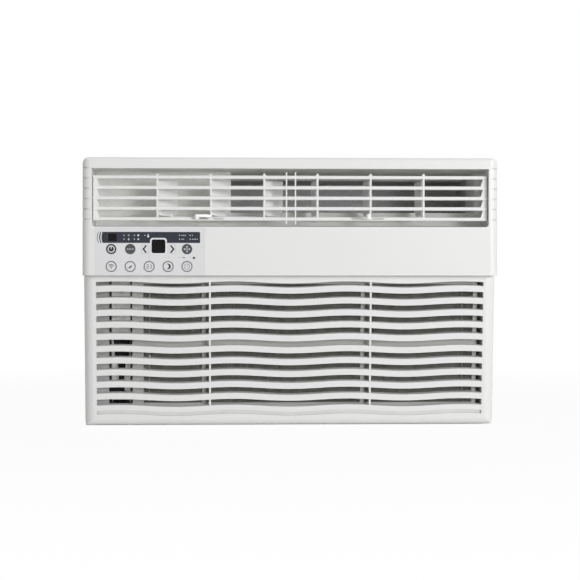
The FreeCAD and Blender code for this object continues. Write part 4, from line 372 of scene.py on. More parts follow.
def skin(name, colour, tint, roughness, bump=0.00003, grain=1400.0, patch=9.0, amount=0.6,
         gloss=0.1, edge=None, reach=0.0008, dust=0.12, coat=0.0, metallic=0.0, shine=0.5,
         painted_shade=0.0):
    """Moulded plastic, rubber or sprayed enamel in one colour."""
    material = bpy.data.materials.new(name)
    material.use_nodes = True
    tree = material.node_tree
    shader = tree.nodes["Principled BSDF"]
    shader.inputs["Specular IOR Level"].default_value = shine
    shader.inputs["Metallic"].default_value = metallic
    shader.inputs["Coat Weight"].default_value = coat
    base = grouped(tree, moulded_skin, Colour=colour, Tint=tint, Patch_Scale=patch,
                   Tint_Amount=amount, Grain_Scale=grain, Roughness=roughness, Gloss_Spread=gloss)
    lighter = opaque(*(min(1.0, c * 1.12 + 0.02) for c in colour[:3]))
    complete(material, base, bump, edge or (lighter, 0.35), reach, (DUST, dust), painted_shade)
    return material


black_enamel = skin("black_enamel", opaque(0.018, 0.018, 0.02), opaque(0.035, 0.033, 0.03), 0.32,
                    patch=26.0, dust=0.35, coat=0.3)
dress(black_enamel, "compressor")
motor_enamel = skin("motor_enamel", opaque(0.16, 0.165, 0.17), opaque(0.22, 0.22, 0.21), 0.42,
                    patch=30.0, dust=0.3, metallic=0.5)
dress(motor_enamel, "fan_motor")
fan_moulding = skin("fan_moulding", opaque(0.06, 0.062, 0.065), opaque(0.10, 0.10, 0.10), 0.5,
                    patch=22.0, dust=0.3)
dress(fan_moulding, "condenser_fan", "blower_wheel", "inlet_ring")
shroud_moulding = skin("shroud_moulding", opaque(0.30, 0.31, 0.32), opaque(0.38, 0.38, 0.37), 0.5,
                       patch=14.0, dust=0.3)
dress(shroud_moulding, "fan_shroud", "drain_tray")
rubber = skin("black_rubber", opaque(0.022, 0.022, 0.022), opaque(0.05, 0.048, 0.045), 0.78,
              bump=0.00006, grain=900.0, patch=60.0, dust=0.35)
dress(rubber, "compressor_grommets", "cord_grommet", "drain_nipple")
capacitor_can = skin("capacitor_can", opaque(0.55, 0.56, 0.57), opaque(0.42, 0.42, 0.42), 0.34,
                     patch=40.0, metallic=0.85, dust=0.15)
dress(capacitor_can, "run_capacitor")
probe_tip = skin("probe_sleeve", opaque(0.05, 0.05, 0.05), opaque(0.1, 0.1, 0.1), 0.5, patch=80.0)
dress(probe_tip, "temperature_probe")


# ---- Refrigerant lines: drawn copper tube -------------------------------------------------------
# Bent copper tube, brazed at each joint. It leaves the mill bright and browns with handling, most
# of all where the torch has been. The lines hang between the compressor and the two coils.
def copper_group():
    """Copper that has gone from pink to brown in clouds, with fine drawing lines."""
    group, given, result = open_group("Handled copper", [
        ("Bright", COLOUR, (0.85, 0.45, 0.3, 1)), ("Brown", COLOUR, (0.3, 0.13, 0.08, 1)),
        ("Cloud Scale", FLOAT, 24.0), ("Roughness", FLOAT, 0.3)],
        [("Colour", COLOUR), ("Roughness", FLOAT), ("Height", FLOAT)])
    place = put(group, "TexCoord").outputs["Object"]
    cloud = put(group, "TexNoise", {"Vector": place, "Scale": given.outputs["Cloud Scale"],
                                    "Detail": 6.0, "Roughness": 0.62}).outputs[0]
    line = put(group, "TexNoise", {"Vector": place, "Scale": 1600.0, "Detail": 2.0}).outputs[0]
    aged = spread(group, cloud, 0.38, 0.66)
    rough = calculate(group, "ADD", given.outputs["Roughness"], spread(group, aged, 0, 1, 0, 0.22))
    group.links.new(blend(group, aged, given.outputs["Bright"], given.outputs["Brown"]),
                    result.inputs["Colour"])
    group.links.new(rough, result.inputs["Roughness"])
    group.links.new(line, result.inputs["Height"])
    return group


handled_copper = copper_group()
copper = bpy.data.materials.new("copper_tube")
copper.use_nodes = True
copper.node_tree.nodes["Principled BSDF"].inputs["Metallic"].default_value = 1.0
complete(copper, grouped(copper.node_tree, handled_copper, Bright=opaque(0.78, 0.42, 0.29),
                         Brown=opaque(0.34, 0.16, 0.10), Cloud_Scale=24.0, Roughness=0.26),
         0.00002, (opaque(0.9, 0.6, 0.45), 0.3), 0.0006, (DUST, 0.2))
dress(copper, "suction_line", "discharge_line", "capillary_tube", "accumulator",
      "condenser_tubes")
wet_tube = bpy.data.materials.new("wetted_tube")
wet_tube.use_nodes = True
wet_tube.node_tree.nodes["Principled BSDF"].inputs["Metallic"].default_value = 0.6
complete(wet_tube, grouped(wet_tube.node_tree, handled_copper, Bright=opaque(0.26, 0.22, 0.19),
                           Brown=opaque(0.13, 0.115, 0.10), Cloud_Scale=30.0, Roughness=0.42),
         0.00002, (opaque(0.34, 0.28, 0.24), 0.3), 0.0006, (DUST, 0.2))
dress(wet_tube, "evaporator_tubes")


# ---- Coils: stacks of thin aluminium fins between end plates ------------------------------------
# Each coil is a stack of corrugated aluminium fins pressed on to copper hairpins, held between two
# folded zinc-coated plates. The room-side coil stands in its tray; the other one closes the rear.
def fin_group():
    """Thin rolled aluminium, dulled in bands by water that ran down it."""
    group, given, result = open_group("Fin stock", [
        ("Colour", COLOUR, (0.6, 0.6, 0.6, 1)), ("Dull", COLOUR, (0.3, 0.3, 0.3, 1)),
        ("Roughness", FLOAT, 0.4)],
        [("Colour", COLOUR), ("Roughness", FLOAT), ("Height", FLOAT)])
    place = put(group, "TexCoord").outputs["Object"]
    tall = put(group, "Mapping", {"Vector": place, "Scale": (60.0, 30.0, 7.0)}).outputs[0]
    streak = put(group, "TexNoise", {"Vector": tall, "Scale": 1.0, "Detail": 4.0}).outputs[0]
    fine = put(group, "TexNoise", {"Vector": place, "Scale": 700.0, "Detail": 2.0}).outputs[0]
    group.links.new(blend(group, spread(group, streak, 0.32, 0.68), given.outputs["Colour"],
                          given.outputs["Dull"]), result.inputs["Colour"])
    group.links.new(calculate(group, "ADD", given.outputs["Roughness"],
                              spread(group, streak, 0.3, 0.7, -0.06, 0.1)),
                    result.inputs["Roughness"])
    group.links.new(fine, result.inputs["Height"])
    return group


fin_stock = fin_group()


def fin_finish(name, colour, dull, dust):
    """Rolled aluminium fins of one coil."""
    material = bpy.data.materials.new(name)
    material.use_nodes = True
    material.node_tree.nodes["Principled BSDF"].inputs["Metallic"].default_value = 0.75
    base = grouped(material.node_tree, fin_stock, Colour=colour, Dull=dull, Roughness=0.42)
    complete(material, base, 0.00002, (opaque(0.7, 0.7, 0.7), 0.2), 0.0003, (DUST, dust))
    return material


def new_piece(name, mesh, material, body):
    """Turns a bmesh into a finished piece that rides on a body."""
    data = bpy.data.meshes.new(name)
    mesh.to_mesh(data)
    mesh.free()
    data.materials.append(material)
    piece = bpy.data.objects.new(name, data)
    scene.collection.objects.link(piece)
    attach(piece, body)
    return piece


def slab(mesh, low, high, bevel=0.0):
    """A rectangular bar between two corners, its edges eased by bevel."""
    made = bmesh.ops.create_cube(mesh, size=1.0)["verts"]
    size = Vector(high) - Vector(low)
    bmesh.ops.scale(mesh, vec=size, verts=made)
    bmesh.ops.translate(mesh, vec=(Vector(low) + Vector(high)) / 2, verts=made)
    if bevel:
        edges = list({edge for vert in made for edge in vert.link_edges})
        bmesh.ops.bevel(mesh, geom=edges, offset=bevel, segments=2, profile=0.5, affect="EDGES",
                        material=-1)


FIN_THICK = 0.00018
FIN_RIPPLE = 0.00022
FIN_INSET = 0.001
END_PLATE_THICK = 0.0015
END_PLATE_EASE = 0.0004
TIE_INSET = 0.002
TIE_DEEP = 0.004


def fin_coil(name, node, pitch, folds, fins_finish):
    """The fins of one coil in one mesh, and its two end plates in another."""
    low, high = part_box(node)
    stack = bmesh.new()
    first = low.x + END_PLATE_THICK + pitch
    last = high.x - END_PLATE_THICK - pitch
    count = int((last - first) / pitch) + 1
    made = bmesh.ops.create_grid(stack, x_segments=folds, y_segments=1, size=0.5)["verts"]
    turn = Matrix.Rotation(math.radians(90), 4, "X") @ Matrix.Rotation(math.radians(90), 4, "Y")
    bmesh.ops.transform(stack, matrix=turn, verts=made)
    spans = [max(v.co[axis] for v in made) - min(v.co[axis] for v in made) for axis in range(3)]
    wide = high.y - low.y - 2 * FIN_INSET
    tall = high.z - low.z - 2 * FIN_INSET
    bmesh.ops.scale(stack, vec=(1.0, wide / spans[1], tall / spans[2]), verts=made)
    bmesh.ops.translate(stack, vec=(first, (low.y + high.y) / 2, (low.z + high.z) / 2), verts=made)
    for vert in stack.verts:
        fold = round((vert.co.y - low.y - FIN_INSET) / wide * folds)
        vert.co.x += FIN_RIPPLE if fold % 2 else -FIN_RIPPLE
    bmesh.ops.recalc_face_normals(stack, faces=stack.faces)
    bmesh.ops.solidify(stack, geom=stack.faces, thickness=FIN_THICK)
    one = stack.verts[:] + stack.edges[:] + stack.faces[:]
    for number in range(1, count):
        copy = bmesh.ops.duplicate(stack, geom=one)["geom"]
        verts = [part for part in copy if isinstance(part, bmesh.types.BMVert)]
        bmesh.ops.translate(stack, vec=(number * pitch, 0.0, 0.0), verts=verts)
    fins = new_piece(name + "_fins", stack, fins_finish, "chassis")
    plates = bmesh.new()
    slab(plates, low, (low.x + END_PLATE_THICK, high.y, high.z), END_PLATE_EASE)
    slab(plates, (high.x - END_PLATE_THICK, low.y, low.z), high, END_PLATE_EASE)
    for edge in (low.z, high.z - END_PLATE_THICK):
        for front in (low.y + TIE_INSET, high.y - TIE_INSET - TIE_DEEP):
            slab(plates, (low.x, front, edge), (high.x, front + TIE_DEEP, edge + END_PLATE_THICK))
    new_piece(name + "_end_plates", plates, galvanised, "chassis")
    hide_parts(node)


room_fins = fin_finish("room_side_fins", opaque(0.80, 0.80, 0.73), opaque(0.58, 0.58, 0.52), 0.1)
rear_fins = fin_finish("rear_fins", opaque(0.52, 0.53, 0.54), opaque(0.34, 0.35, 0.36), 0.2)
fin_coil("evaporator", "evaporator_coil", 0.0018, 8, room_fins)
fin_coil("condenser", "condenser_coil", 0.0017, 8, rear_fins)


# ---- Air ducts: expanded polystyrene and black foam ---------------------------------------------
# The scroll and the outlet duct are moulded from white bead foam, which also keeps the cold in.
# Strips of black open-cell foam close the gaps beside the coil and are stuck down.
def bead_group():
    """Fused foam beads: a fine cell pattern with darker joints."""
    group, given, result = open_group("Bead foam", [
        ("Colour", COLOUR, (0.7, 0.7, 0.7, 1)), ("Joint Colour", COLOUR, (0.5, 0.5, 0.5, 1)),
        ("Bead Scale", FLOAT, 330.0), ("Roughness", FLOAT, 0.85)],
        [("Colour", COLOUR), ("Roughness", FLOAT), ("Height", FLOAT)])
    place = put(group, "TexCoord").outputs["Object"]
    bead = put(group, "TexVoronoi", {"Vector": place, "Scale": given.outputs["Bead Scale"]})
    haze = put(group, "TexNoise", {"Vector": place, "Scale": 22.0, "Detail": 4.0}).outputs[0]
    joint = spread(group, bead.outputs["Distance"], 0.25, 0.75)
    shade = calculate(group, "MULTIPLY", joint, spread(group, haze, 0.3, 0.7, 0.4, 1.0))
    group.links.new(blend(group, shade, given.outputs["Colour"], given.outputs["Joint Colour"]),
                    result.inputs["Colour"])
    group.links.new(calculate(group, "ADD", given.outputs["Roughness"],
                              spread(group, haze, 0.3, 0.7, -0.05, 0.05)),
                    result.inputs["Roughness"])
    group.links.new(calculate(group, "SUBTRACT", 1.0, joint), result.inputs["Height"])
    return group


bead_foam = bead_group()


def foam_finish(name, colour, joint, beads, bump):
    """Bead foam or cell foam in one colour."""
    material = bpy.data.materials.new(name)
    material.use_nodes = True
    base = grouped(material.node_tree, bead_foam, Colour=colour, Joint_Colour=joint,
                   Bead_Scale=beads, Roughness=0.88)
    complete(material, base, bump, (colour, 0.2), 0.001, (DUST, 0.15))
    return material


# The outlet duct's foam is coloured lighter than the scroll's: painted light for its shaded inside.
duct_foam_with_painted_light = foam_finish("duct_foam_with_painted_light", opaque(0.92, 0.92, 0.895), opaque(0.87, 0.87, 0.84), 330.0,
                        0.0002)
scroll_foam = foam_finish("scroll_foam", opaque(0.72, 0.72, 0.72), opaque(0.62, 0.62, 0.62), 330.0,
                          0.0002)
seal_foam = foam_finish("seal_foam", opaque(0.012, 0.012, 0.012), opaque(0.03, 0.03, 0.03), 700.0,
                        0.0004)
dress(duct_foam_with_painted_light, "outlet_duct")
dress(scroll_foam, "scroll_housing")
dress(seal_foam, "foam_seal")


# ---- Outer case and rear guard: sheet steel under powder paint ----------------------------------
# The case wraps over the top and both sides and slides on from behind. Its air slots are pressed
# out into low hoods that shed rain. The guard of level wires is spot welded and painted to match.
case_paint = skin("case_paint", opaque(0.60, 0.605, 0.58), opaque(0.56, 0.56, 0.53), 0.46,
                  bump=0.00008, grain=520.0, patch=7.0, gloss=0.14, reach=0.0012, dust=0.18)
dress(case_paint, "outer_case", "rear_grille")

HOOD_OUT = 0.0042
HOOD_OVERLAP = 0.0008
HOOD_OVERRUN = 0.001
CASE_HALF = 0.238
CASE_TOP = 0.316
SLOT_TALL = 0.0045
SLOT_LONG = 0.062
SLOT_FRONT = 0.010
SLOT_ROWS = 14
SLOT_LOW = 0.060
SLOT_PITCH = 0.015
SLOT_BRIDGE = 0.012
TOP_SLOTS = 22
TOP_SPAN = 0.400
HOOD_SHEET = 0.0007


def slot_hood():
    """One pressed hood over a slot along Y: a quarter barrel, closed at its ends, open below."""
    hood = bmesh.new()
    reach = SLOT_TALL + HOOD_OVERLAP
    bmesh.ops.create_cone(hood, segments=24, radius1=reach, radius2=reach,
                          depth=SLOT_LONG + HOOD_OVERRUN, cap_ends=True, cap_tris=False)
    bmesh.ops.rotate(hood, matrix=Matrix.Rotation(math.radians(90), 3, "X"), verts=hood.verts)
    for normal in ((1.0, 0.0, 0.0), (0.0, 0.0, 1.0)):
        everything = hood.verts[:] + hood.edges[:] + hood.faces[:]
        bmesh.ops.bisect_plane(hood, geom=everything, plane_co=(0.0, 0.0, 0.0),
                               plane_no=normal, clear_inner=True)
    bmesh.ops.remove_doubles(hood, verts=hood.verts, dist=0.00001)
    bmesh.ops.scale(hood, vec=(HOOD_OUT / reach, 1.0, 1.0), verts=hood.verts)
    bmesh.ops.recalc_face_normals(hood, faces=hood.faces)
    bmesh.ops.solidify(hood, geom=hood.faces, thickness=HOOD_SHEET)
    data = bpy.data.meshes.new("slot_hood")
    hood.to_mesh(data)
    hood.free()
    return data


def stamp(mesh, pattern, matrix):
    """Adds a copy of a small mesh in the place that matrix gives."""
    before = len(mesh.verts)
    mesh.from_mesh(pattern)
    mesh.verts.ensure_lookup_table()
    bmesh.ops.transform(mesh, matrix=matrix, verts=mesh.verts[before:])


pattern = slot_hood()
hoods = bmesh.new()
for row in range(SLOT_ROWS):
    for column in range(2):
        middle_y = SLOT_FRONT + column * (SLOT_LONG + SLOT_BRIDGE) + SLOT_LONG / 2
        low_z = SLOT_LOW + row * SLOT_PITCH
        stamp(hoods, pattern, Matrix.Translation((CASE_HALF, middle_y, low_z)))
        stamp(hoods, pattern, Matrix.Translation((-CASE_HALF, middle_y, low_z))
              @ Matrix.Rotation(math.pi, 4, "Z"))
lay_over = Matrix.Rotation(math.radians(-90), 4, "Y")
for column in range(TOP_SLOTS):
    x = -TOP_SPAN / 2 + column * TOP_SPAN / (TOP_SLOTS - 1)
    stamp(hoods, pattern, Matrix.Translation((x + SLOT_TALL / 2, SLOT_FRONT + SLOT_LONG / 2,
                                              CASE_TOP)) @ lay_over)
new_piece("case_slot_hoods", hoods, case_paint, "chassis")


# ---- Room-side mouldings: white polystyrene -----------------------------------------------------
# The bezel is one large white moulding that clips over the case. The louvre frame, its vanes and
# the intake panel are separate mouldings of the same white, and snap or hinge into the bezel.
# The bezel's grooves, grip ribs and inside corners are darkened strongly: painted shade.
white_moulding = skin("white_moulding", opaque(0.81, 0.81, 0.805), opaque(0.79, 0.79, 0.78), 0.42,
                      bump=0.00002, grain=1600.0, patch=6.0, gloss=0.08,
                      edge=(opaque(0.83, 0.83, 0.82), 0.4), reach=0.0009, dust=0.05, painted_shade=0.9)
dress(white_moulding, "front_bezel")
louvre_white = skin("louvre_white", opaque(0.82, 0.82, 0.815), opaque(0.80, 0.80, 0.79), 0.38,
                    bump=0.00002, grain=1700.0, patch=14.0, gloss=0.08,
                    edge=(opaque(0.85, 0.85, 0.84), 0.4), reach=0.0006, dust=0.06)
dress(louvre_white, "louver_frame")
# The vanes are coloured lighter than the louvre frame's same white: painted light making up for the
# shade inside the outlet.
vane_white_with_painted_light = skin("vane_white_with_painted_light", opaque(0.90, 0.90, 0.895), opaque(0.87, 0.87, 0.86), 0.36,
                  bump=0.00002, grain=1700.0, patch=20.0, gloss=0.08, reach=0.0006, dust=0.08)
dress(vane_white_with_painted_light, "left_vane_outer", "left_vane_lever", "left_vane_inner", "right_vane_inner",
      "right_vane_lever", "right_vane_outer", "left_vane_link", "right_vane_link")
# The intake panel's slots and blind groove are darkened: painted shade.
panel_white = skin("panel_white", opaque(0.82, 0.82, 0.815), opaque(0.80, 0.80, 0.79), 0.40,
                   bump=0.00002, grain=1600.0, patch=7.0, gloss=0.08,
                   edge=(opaque(0.84, 0.84, 0.83), 0.4), reach=0.0008, dust=0.06, painted_shade=0.6)
dress(panel_white, "intake_grille")


# ---- Air filter: nylon net in a grey frame ------------------------------------------------------
# The frame is a thin grey moulding that slides in behind the intake panel. The net is woven nylon
# thread, moulded into the frame all round, and washable.
frame_grey = skin("filter_frame_grey", opaque(0.40, 0.40, 0.385), opaque(0.35, 0.35, 0.335), 0.5,
                  bump=0.00003, patch=16.0, dust=0.15)
dress(frame_grey, "filter_frame")
net_thread = skin("net_thread", opaque(0.25, 0.25, 0.225), opaque(0.32, 0.32, 0.29), 0.55,
                  bump=0.00001, grain=3000.0, patch=24.0, dust=0.1)

THREAD_WIDE = 0.00024
THREAD_PITCH = 0.0016
PANEL_LEAN = 5.0
HINGE_Y = -0.197918
HINGE_Z = 0.011


def distinct(values):
    """The values in order, without near repeats."""
    return sorted({round(value, 5) for value in values})


def filter_net():
    """Upright threads and level threads in every window of the leaning frame."""
    leaning = (Matrix.Translation((0.0, HINGE_Y, HINGE_Z))
               @ Matrix.Rotation(math.radians(PANEL_LEAN), 4, "X"))
    upright = leaning.inverted()
    corners = [upright @ vert.co for vert in nodes["filter_mesh"].data.vertices]
    sides = distinct(co.x for co in corners)
    levels = distinct(co.z for co in corners)
    middle = (min(co.y for co in corners) + max(co.y for co in corners)) / 2
    net = bmesh.new()
    for left, right in zip(sides[::2], sides[1::2]):
        count = int((right - left) / THREAD_PITCH)
        for foot, head in zip(levels[::2], levels[1::2]):
            for number in range(count):
                x = left + (number + 0.5) * (right - left) / count
                slab(net, (x - THREAD_WIDE / 2, middle, foot),
                     (x + THREAD_WIDE / 2, middle + THREAD_WIDE, head))
    for foot, head in zip(levels[::2], levels[1::2]):
        count = int((head - foot) / THREAD_PITCH)
        for left, right in zip(sides[::2], sides[1::2]):
            for number in range(count):
                z = foot + (number + 0.5) * (head - foot) / count
                slab(net, (left, middle - THREAD_WIDE, z - THREAD_WIDE / 2),
                     (right, middle, z + THREAD_WIDE / 2))
    bmesh.ops.transform(net, matrix=leaning, verts=net.verts)
    return net


threads = new_piece("filter_net", filter_net(), net_thread, "grille")
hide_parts("filter_mesh")


# ---- Key panel: printed film, two smoked windows and ten keys -----------------------------------
# A film of polycarbonate, printed on its back, lies in a recess of the bezel. The digits and the
# remote receiver look out through smoked acrylic. Each key is a moulded cap with printed marks.
film = skin("panel_film", opaque(0.745, 0.746, 0.757), opaque(0.72, 0.72, 0.73), 0.38,
            bump=0.00001, grain=2400.0, patch=18.0, gloss=0.06, reach=0.0004, dust=0.02)
dress(film, "control_overlay")
smoked = skin("smoked_window", opaque(0.011, 0.010, 0.011), opaque(0.019, 0.017, 0.018), 0.16,
              bump=0.000004, grain=1200.0, patch=90.0, gloss=0.04, reach=0.0004, dust=0.02,
              shine=0.06)
dress(smoked, "display_window", "receiver_window")
board_green = skin("board_laminate", opaque(0.05, 0.12, 0.06), opaque(0.08, 0.15, 0.08), 0.4,
                   patch=60.0, dust=0.05)
dress(board_green, "control_board")
cap_white = skin("key_cap_white", opaque(0.74, 0.74, 0.75), opaque(0.71, 0.71, 0.715), 0.36,
                 bump=0.00001, grain=2400.0, patch=60.0, gloss=0.06, reach=0.0003, dust=0.02)
dress(cap_white, "power_key", "wireless_key", "auto_key", "filter_key", "sleep_key", "timer_key")
dress(film, "cooler_key", "warmer_key")
cap_slate = skin("key_cap_slate", opaque(0.060, 0.058, 0.070), opaque(0.045, 0.052, 0.055), 0.36,
                 bump=0.00001, grain=2400.0, patch=80.0, gloss=0.06, reach=0.0003, dust=0.02)
dress(cap_slate, "mode_key", "fan_key")


def ink(name, colour, tint):
    """Screen-printed ink in one colour."""
    return skin(name, colour, tint, 0.38, bump=0.000004, grain=2600.0, patch=120.0, amount=0.7,
                gloss=0.05, reach=0.0002, dust=0.0, shine=0.12)


slate_ink = ink("slate_ink", opaque(0.045, 0.048, 0.064), opaque(0.036, 0.040, 0.052))
charcoal_ink = ink("charcoal_ink", opaque(0.040, 0.040, 0.044), opaque(0.055, 0.055, 0.060))
grey_ink = ink("grey_ink", opaque(0.165, 0.162, 0.172), opaque(0.20, 0.195, 0.205))
pale_ink = ink("pale_ink", opaque(0.55, 0.60, 0.62), opaque(0.45, 0.50, 0.52))
white_ink = ink("white_ink", opaque(0.78, 0.80, 0.82), opaque(0.70, 0.72, 0.75))
aqua_ink = ink("aqua_ink", opaque(0.34, 0.48, 0.48), opaque(0.42, 0.55, 0.55))
ring_white_ink = ink("ring_white_ink", opaque(0.84, 0.84, 0.86), opaque(0.80, 0.80, 0.82))

MM = 0.001
INK_THICK = 0.00004
FILM_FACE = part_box("receiver_window")[0].y
CAP_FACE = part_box("power_key")[0].y
SURROUND_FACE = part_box("control_overlay")[0].y


def arc(x, z, radius, start, end, steps):
    """Points along an arc, angles in degrees from +X, in millimetres about a centre."""
    return [(x + radius * math.cos(math.radians(start + (end - start) * n / steps)),
             z + radius * math.sin(math.radians(start + (end - start) * n / steps)))
            for n in range(steps + 1)]


def ring_part(x, z, inner, outer, start, end, steps=24):
    """A band between two radii from one angle to another."""
    return arc(x, z, outer, start, end, steps) + arc(x, z, inner, end, start, steps)


def disc(x, z, radius, steps=32):
    """A full round outline."""
    return arc(x, z, radius, 0, 360 - 360 / steps, steps - 1)


def stroke(x0, z0, x1, z1, wide):
    """A straight line of some width between two points."""
    along = Vector((x1 - x0, z1 - z0)).normalized() * wide / 2
    side = Vector((-along.y, along.x))
    return [(x0 - side.x, z0 - side.y), (x1 - side.x, z1 - side.y),
            (x1 + side.x, z1 + side.y), (x0 + side.x, z0 + side.y)]


def print_on(name, body, material, face, outlines, layer=0):
    """Prints closed outlines, given in millimetres, as a thin layer of ink on a face."""
    curve = bpy.data.curves.new(name, "CURVE")
    curve.dimensions = "2D"
    curve.fill_mode = "BOTH"
    curve.extrude = INK_THICK / 2
    for outline in outlines:
        spline = curve.splines.new("POLY")
        spline.points.add(len(outline) - 1)
        for point, (x, z) in zip(spline.points, outline):
            point.co = (x * MM, z * MM, 0.0, 1.0)
        spline.use_cyclic_u = True
    flat = bpy.data.objects.new(name + "_outline", curve)
    data = bpy.data.meshes.new_from_object(flat)
    bpy.data.objects.remove(flat)
    mark = bmesh.new()
    mark.from_mesh(data)
    bpy.data.meshes.remove(data)
    bmesh.ops.remove_doubles(mark, verts=mark.verts, dist=0.0000005)
    bmesh.ops.rotate(mark, matrix=Matrix.Rotation(math.radians(90), 3, "X"), verts=mark.verts)
    bmesh.ops.translate(mark, vec=(0.0, face - INK_THICK * (layer + 0.5), 0.0),
                        verts=mark.verts)
    bmesh.ops.recalc_face_normals(mark, faces=mark.faces)
    new_piece(name, mark, material, body)


def centre(node):
    """The middle of a key's front, in millimetres."""
    low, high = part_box(node)
    return (low.x + high.x) / 2 / MM, (low.z + high.z) / 2 / MM


BAND_LEFT = -225.3
BAND_RIGHT = -109.1
BAND_LOW = 222.5
BAND_HIGH = 235.7
BAND_BULGE = 1.1
NOTCH_HALF = 9.9
NOTCH_ROUND = 3.4
TOP_ROW = 231.6
LOW_ROW = 227.0
LAMP_ROW = 205.1
display_x, display_z = centre("display_window")
receiver_x, receiver_z = centre("receiver_window")


def bowed_side(x, bulge, low, high, steps=8):
    """Points down a gently bowed upright, from high to low."""
    return [(x - bulge * math.sin(math.pi * n / steps), high + (low - high) * n / steps)
            for n in range(steps + 1)]


def square_outline(x, z, half_wide, half_tall):
    """An upright rectangle about its middle."""
    return [(x - half_wide, z - half_tall), (x + half_wide, z - half_tall),
            (x + half_wide, z + half_tall), (x - half_wide, z + half_tall)]


def band_outline():
    """The slate band: bowed at its left end, notched round the display's surround."""
    left = display_x - NOTCH_HALF
    right = display_x + NOTCH_HALF
    turn_z = display_z + NOTCH_HALF - NOTCH_ROUND
    notch = [(right, BAND_LOW), *arc(right - NOTCH_ROUND, turn_z, NOTCH_ROUND, 0, 90, 6),
             *arc(left + NOTCH_ROUND, turn_z, NOTCH_ROUND, 90, 180, 6), (left, BAND_LOW)]
    left_side = bowed_side(BAND_LEFT, BAND_BULGE, BAND_LOW, BAND_HIGH)[::-1]
    return left_side + [(BAND_RIGHT - 0.8, BAND_HIGH), (BAND_RIGHT, BAND_HIGH - 0.8),
                        (BAND_RIGHT, BAND_LOW + 0.4), (BAND_RIGHT - 0.4, BAND_LOW)] + notch


receiver_hole = square_outline(receiver_x, receiver_z, 4.95, 4.4)
print_on("print_band", "chassis", slate_ink, FILM_FACE,
         [band_outline(), receiver_hole])
for number, (gap, wide, bulge, colour) in enumerate(((1.2, 1.2, 1.5, charcoal_ink),
                                                     (4.1, 0.8, 1.8, grey_ink))):
    outer = bowed_side(BAND_LEFT - gap - wide, bulge + 0.1, BAND_LOW, BAND_HIGH)
    inner = bowed_side(BAND_LEFT - gap, bulge, BAND_LOW, BAND_HIGH)[::-1]
    print_on(f"print_band_arc_{number + 1}", "chassis", colour, FILM_FACE,
             [outer + inner])

marks = [disc(x, z, 0.75, 16) for x, z in (
    (-199.7, TOP_ROW), (-199.7, LOW_ROW), (-187.4, TOP_ROW), (-187.4, LOW_ROW),
    (-174.8, TOP_ROW), (-133.6, TOP_ROW), (-133.6, LOW_ROW), (-120.9, TOP_ROW),
    (-120.9, LOW_ROW))]
print_on("print_indicators", "chassis", pale_ink, FILM_FACE, marks, 1)

# The snowflake's three strokes cross, so each one lies on a layer of its own.
SNOW_X = -194.2
for layer, (turn, ending) in enumerate(((0, ""), (60, "_2"), (120, "_3")), 1):
    across = Vector((math.cos(math.radians(turn)), math.sin(math.radians(turn)))) * 1.3
    print_on("print_snowflake" + ending, "chassis", pale_ink, FILM_FACE,
             [stroke(SNOW_X - across.x, TOP_ROW - across.y, SNOW_X + across.x,
                     TOP_ROW + across.y, 0.35)], layer)
print_on("print_drop", "chassis", pale_ink, FILM_FACE,
         [[(-194.2, 228.7), *arc(-194.2, 226.7, 1.05, 25, -205, 12)]], 1)
print_on("print_sun", "chassis", white_ink, FILM_FACE,
         [disc(-182.7, TOP_ROW, 1.15, 20)], 1)
print_on("print_fan_dot", "chassis", white_ink, FILM_FACE,
         [disc(-182.7, LOW_ROW, 0.95, 20)], 1)
print_on("print_thermometer", "chassis", white_ink, FILM_FACE,
         [arc(-170.9, 230.2, 1.15, 125, 415, 16) + [(-170.3, 233.0), (-171.5, 233.0)]], 1)
bars = [square_outline(x + number * 1.9 + 0.6, z, 0.55, 0.6) for x, z, count in (
    (-131.3, TOP_ROW, 3), (-131.3, LOW_ROW, 2), (-118.8, TOP_ROW, 1), (-118.8, LOW_ROW, 4))
        for number in range(count)]
print_on("print_level_bars", "chassis", pale_ink, FILM_FACE, bars, 1)

lamps = [disc(x, LAMP_ROW, 0.6, 12) for x in (-214.9, -192.5, -169.9, -147.2, -134.1, -121.4)]
print_on("print_lamp_dots", "chassis", aqua_ink, FILM_FACE, lamps)
print_on("print_minutes_dash", "chassis", grey_ink, FILM_FACE,
         [square_outline(-128.8, 205.0, 1.9, 0.45)])
print_on("print_lock_triangle", "chassis", charcoal_ink, FILM_FACE,
         [[(-118.1, 203.6), (-114.7, 203.6), (-115.2, 205.2), (-116.4, 206.5), (-117.6, 205.2)]])


def rounded_square(x, z, reach, radius):
    """A square outline with round corners whose centres lie at reach from its middle."""
    return [point for number, (side, up) in enumerate(((1, 1), (-1, 1), (-1, -1), (1, -1)))
            for point in arc(x + side * reach, z + up * reach, radius, number * 90,
                             number * 90 + 90, 6)]


print_on("print_display_edge", "chassis", ring_white_ink, SURROUND_FACE,
         [rounded_square(display_x, display_z, 6.3, 3.3),
          rounded_square(display_x, display_z, 5.8, 2.45)])

# Ring keys carry a grey ring with a symbol in it; the three round keys above are dark.
for key in ("wireless_key", "auto_key", "filter_key", "sleep_key", "timer_key"):
    x, z = centre(key)
    print_on("print_ring_" + key, key, grey_ink, CAP_FACE,
             [disc(x, z, 6.4, 48), disc(x, z, 5.35, 48)])

x, z = centre("power_key")
print_on("print_power_ring", "power_key", charcoal_ink, CAP_FACE,
         [disc(x, z, 6.0, 48), disc(x, z, 4.3, 48)])
print_on("print_power_symbol", "power_key", charcoal_ink, CAP_FACE,
         [arc(x, z, 3.1, 101, 439, 30) + [(x + 0.5, z + 0.2), (x - 0.5, z + 0.2)]])

x, z = centre("mode_key")
print_on("print_mode_dashes", "mode_key", pale_ink, CAP_FACE,
         [square_outline(x + offset, z, 1.15, 0.55) for offset in (-3.0, 0.0, 3.0)])

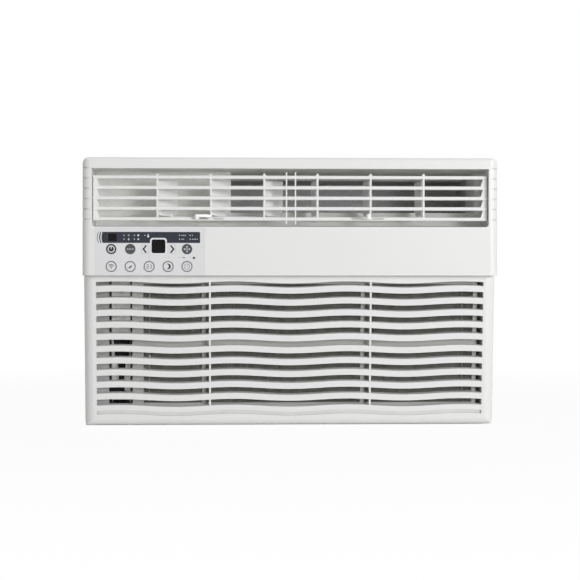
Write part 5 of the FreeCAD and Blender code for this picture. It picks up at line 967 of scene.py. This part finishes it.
x, z = centre("fan_key")
blades = [disc(x + 2.75 * math.cos(math.radians(turn)), z + 2.75 * math.sin(math.radians(turn)),
               1.15, 18) for turn in (0, 90, 180, 270)]
print_on("print_fan_blades", "fan_key", pale_ink, CAP_FACE,
         blades + [disc(x, z, 0.9, 16)])

for key, way in (("cooler_key", 1), ("warmer_key", -1)):
    x, z = centre(key)
    tip = x - way * 2.9
    back = x + way * 2.5
    chevron = [(tip, z), (back - way * 1.6, z + 4.7), (back, z + 4.0), (tip + way * 2.5, z),
               (back, z - 4.0), (back - way * 1.6, z - 4.7)]
    print_on("print_chevron_" + key, key, charcoal_ink, CAP_FACE, [chevron])

x, z = centre("wireless_key")
print_on("print_wireless", "wireless_key", grey_ink, CAP_FACE,
         [ring_part(x, z - 2.3, 4.2, 5.1, 48, 132, 10), ring_part(x, z - 2.3, 2.6, 3.5, 46, 134, 8),
          ring_part(x, z - 2.3, 1.1, 1.9, 42, 138, 6), disc(x, z - 2.5, 0.55, 12)])

x, z = centre("auto_key")
print_on("print_leaf", "auto_key", grey_ink, CAP_FACE,
         [arc(x - 1.7, z + 1.3, 3.8, -80, 10, 10) + arc(x + 2.0, z - 2.4, 3.7, 95, 178, 10)])
print_on("print_leaf_stalk", "auto_key", grey_ink, CAP_FACE,
         [stroke(x - 3.6, z - 2.6, x - 1.4, z - 1.2, 0.55)])

x, z = centre("filter_key")
print_on("print_air", "filter_key", grey_ink, CAP_FACE,
         [ring_part(x + 0.4, z, 2.2, 2.95, -70, 70, 12), square_outline(x - 1.7, z + 1.9, 1.5, 0.4),
          square_outline(x - 1.7, z, 1.5, 0.4), square_outline(x - 1.7, z - 1.9, 1.5, 0.4)])

x, z = centre("sleep_key")
print_on("print_moon", "sleep_key", charcoal_ink, CAP_FACE,
         [arc(x - 0.3, z, 3.5, -124, 124, 20) + arc(x - 1.9, z, 2.9, 97, -97, 16)])

x, z = centre("timer_key")
print_on("print_clock_face", "timer_key", grey_ink, CAP_FACE,
         [disc(x, z, 3.5, 32), disc(x, z, 2.95, 32)])
print_on("print_clock_hand", "timer_key", grey_ink, CAP_FACE,
         [stroke(x, z, x, z + 2.0, 0.45)])
print_on("print_clock_hand_2", "timer_key", grey_ink, CAP_FACE,
         [stroke(x, z, x + 1.5, z - 0.6, 0.45)])
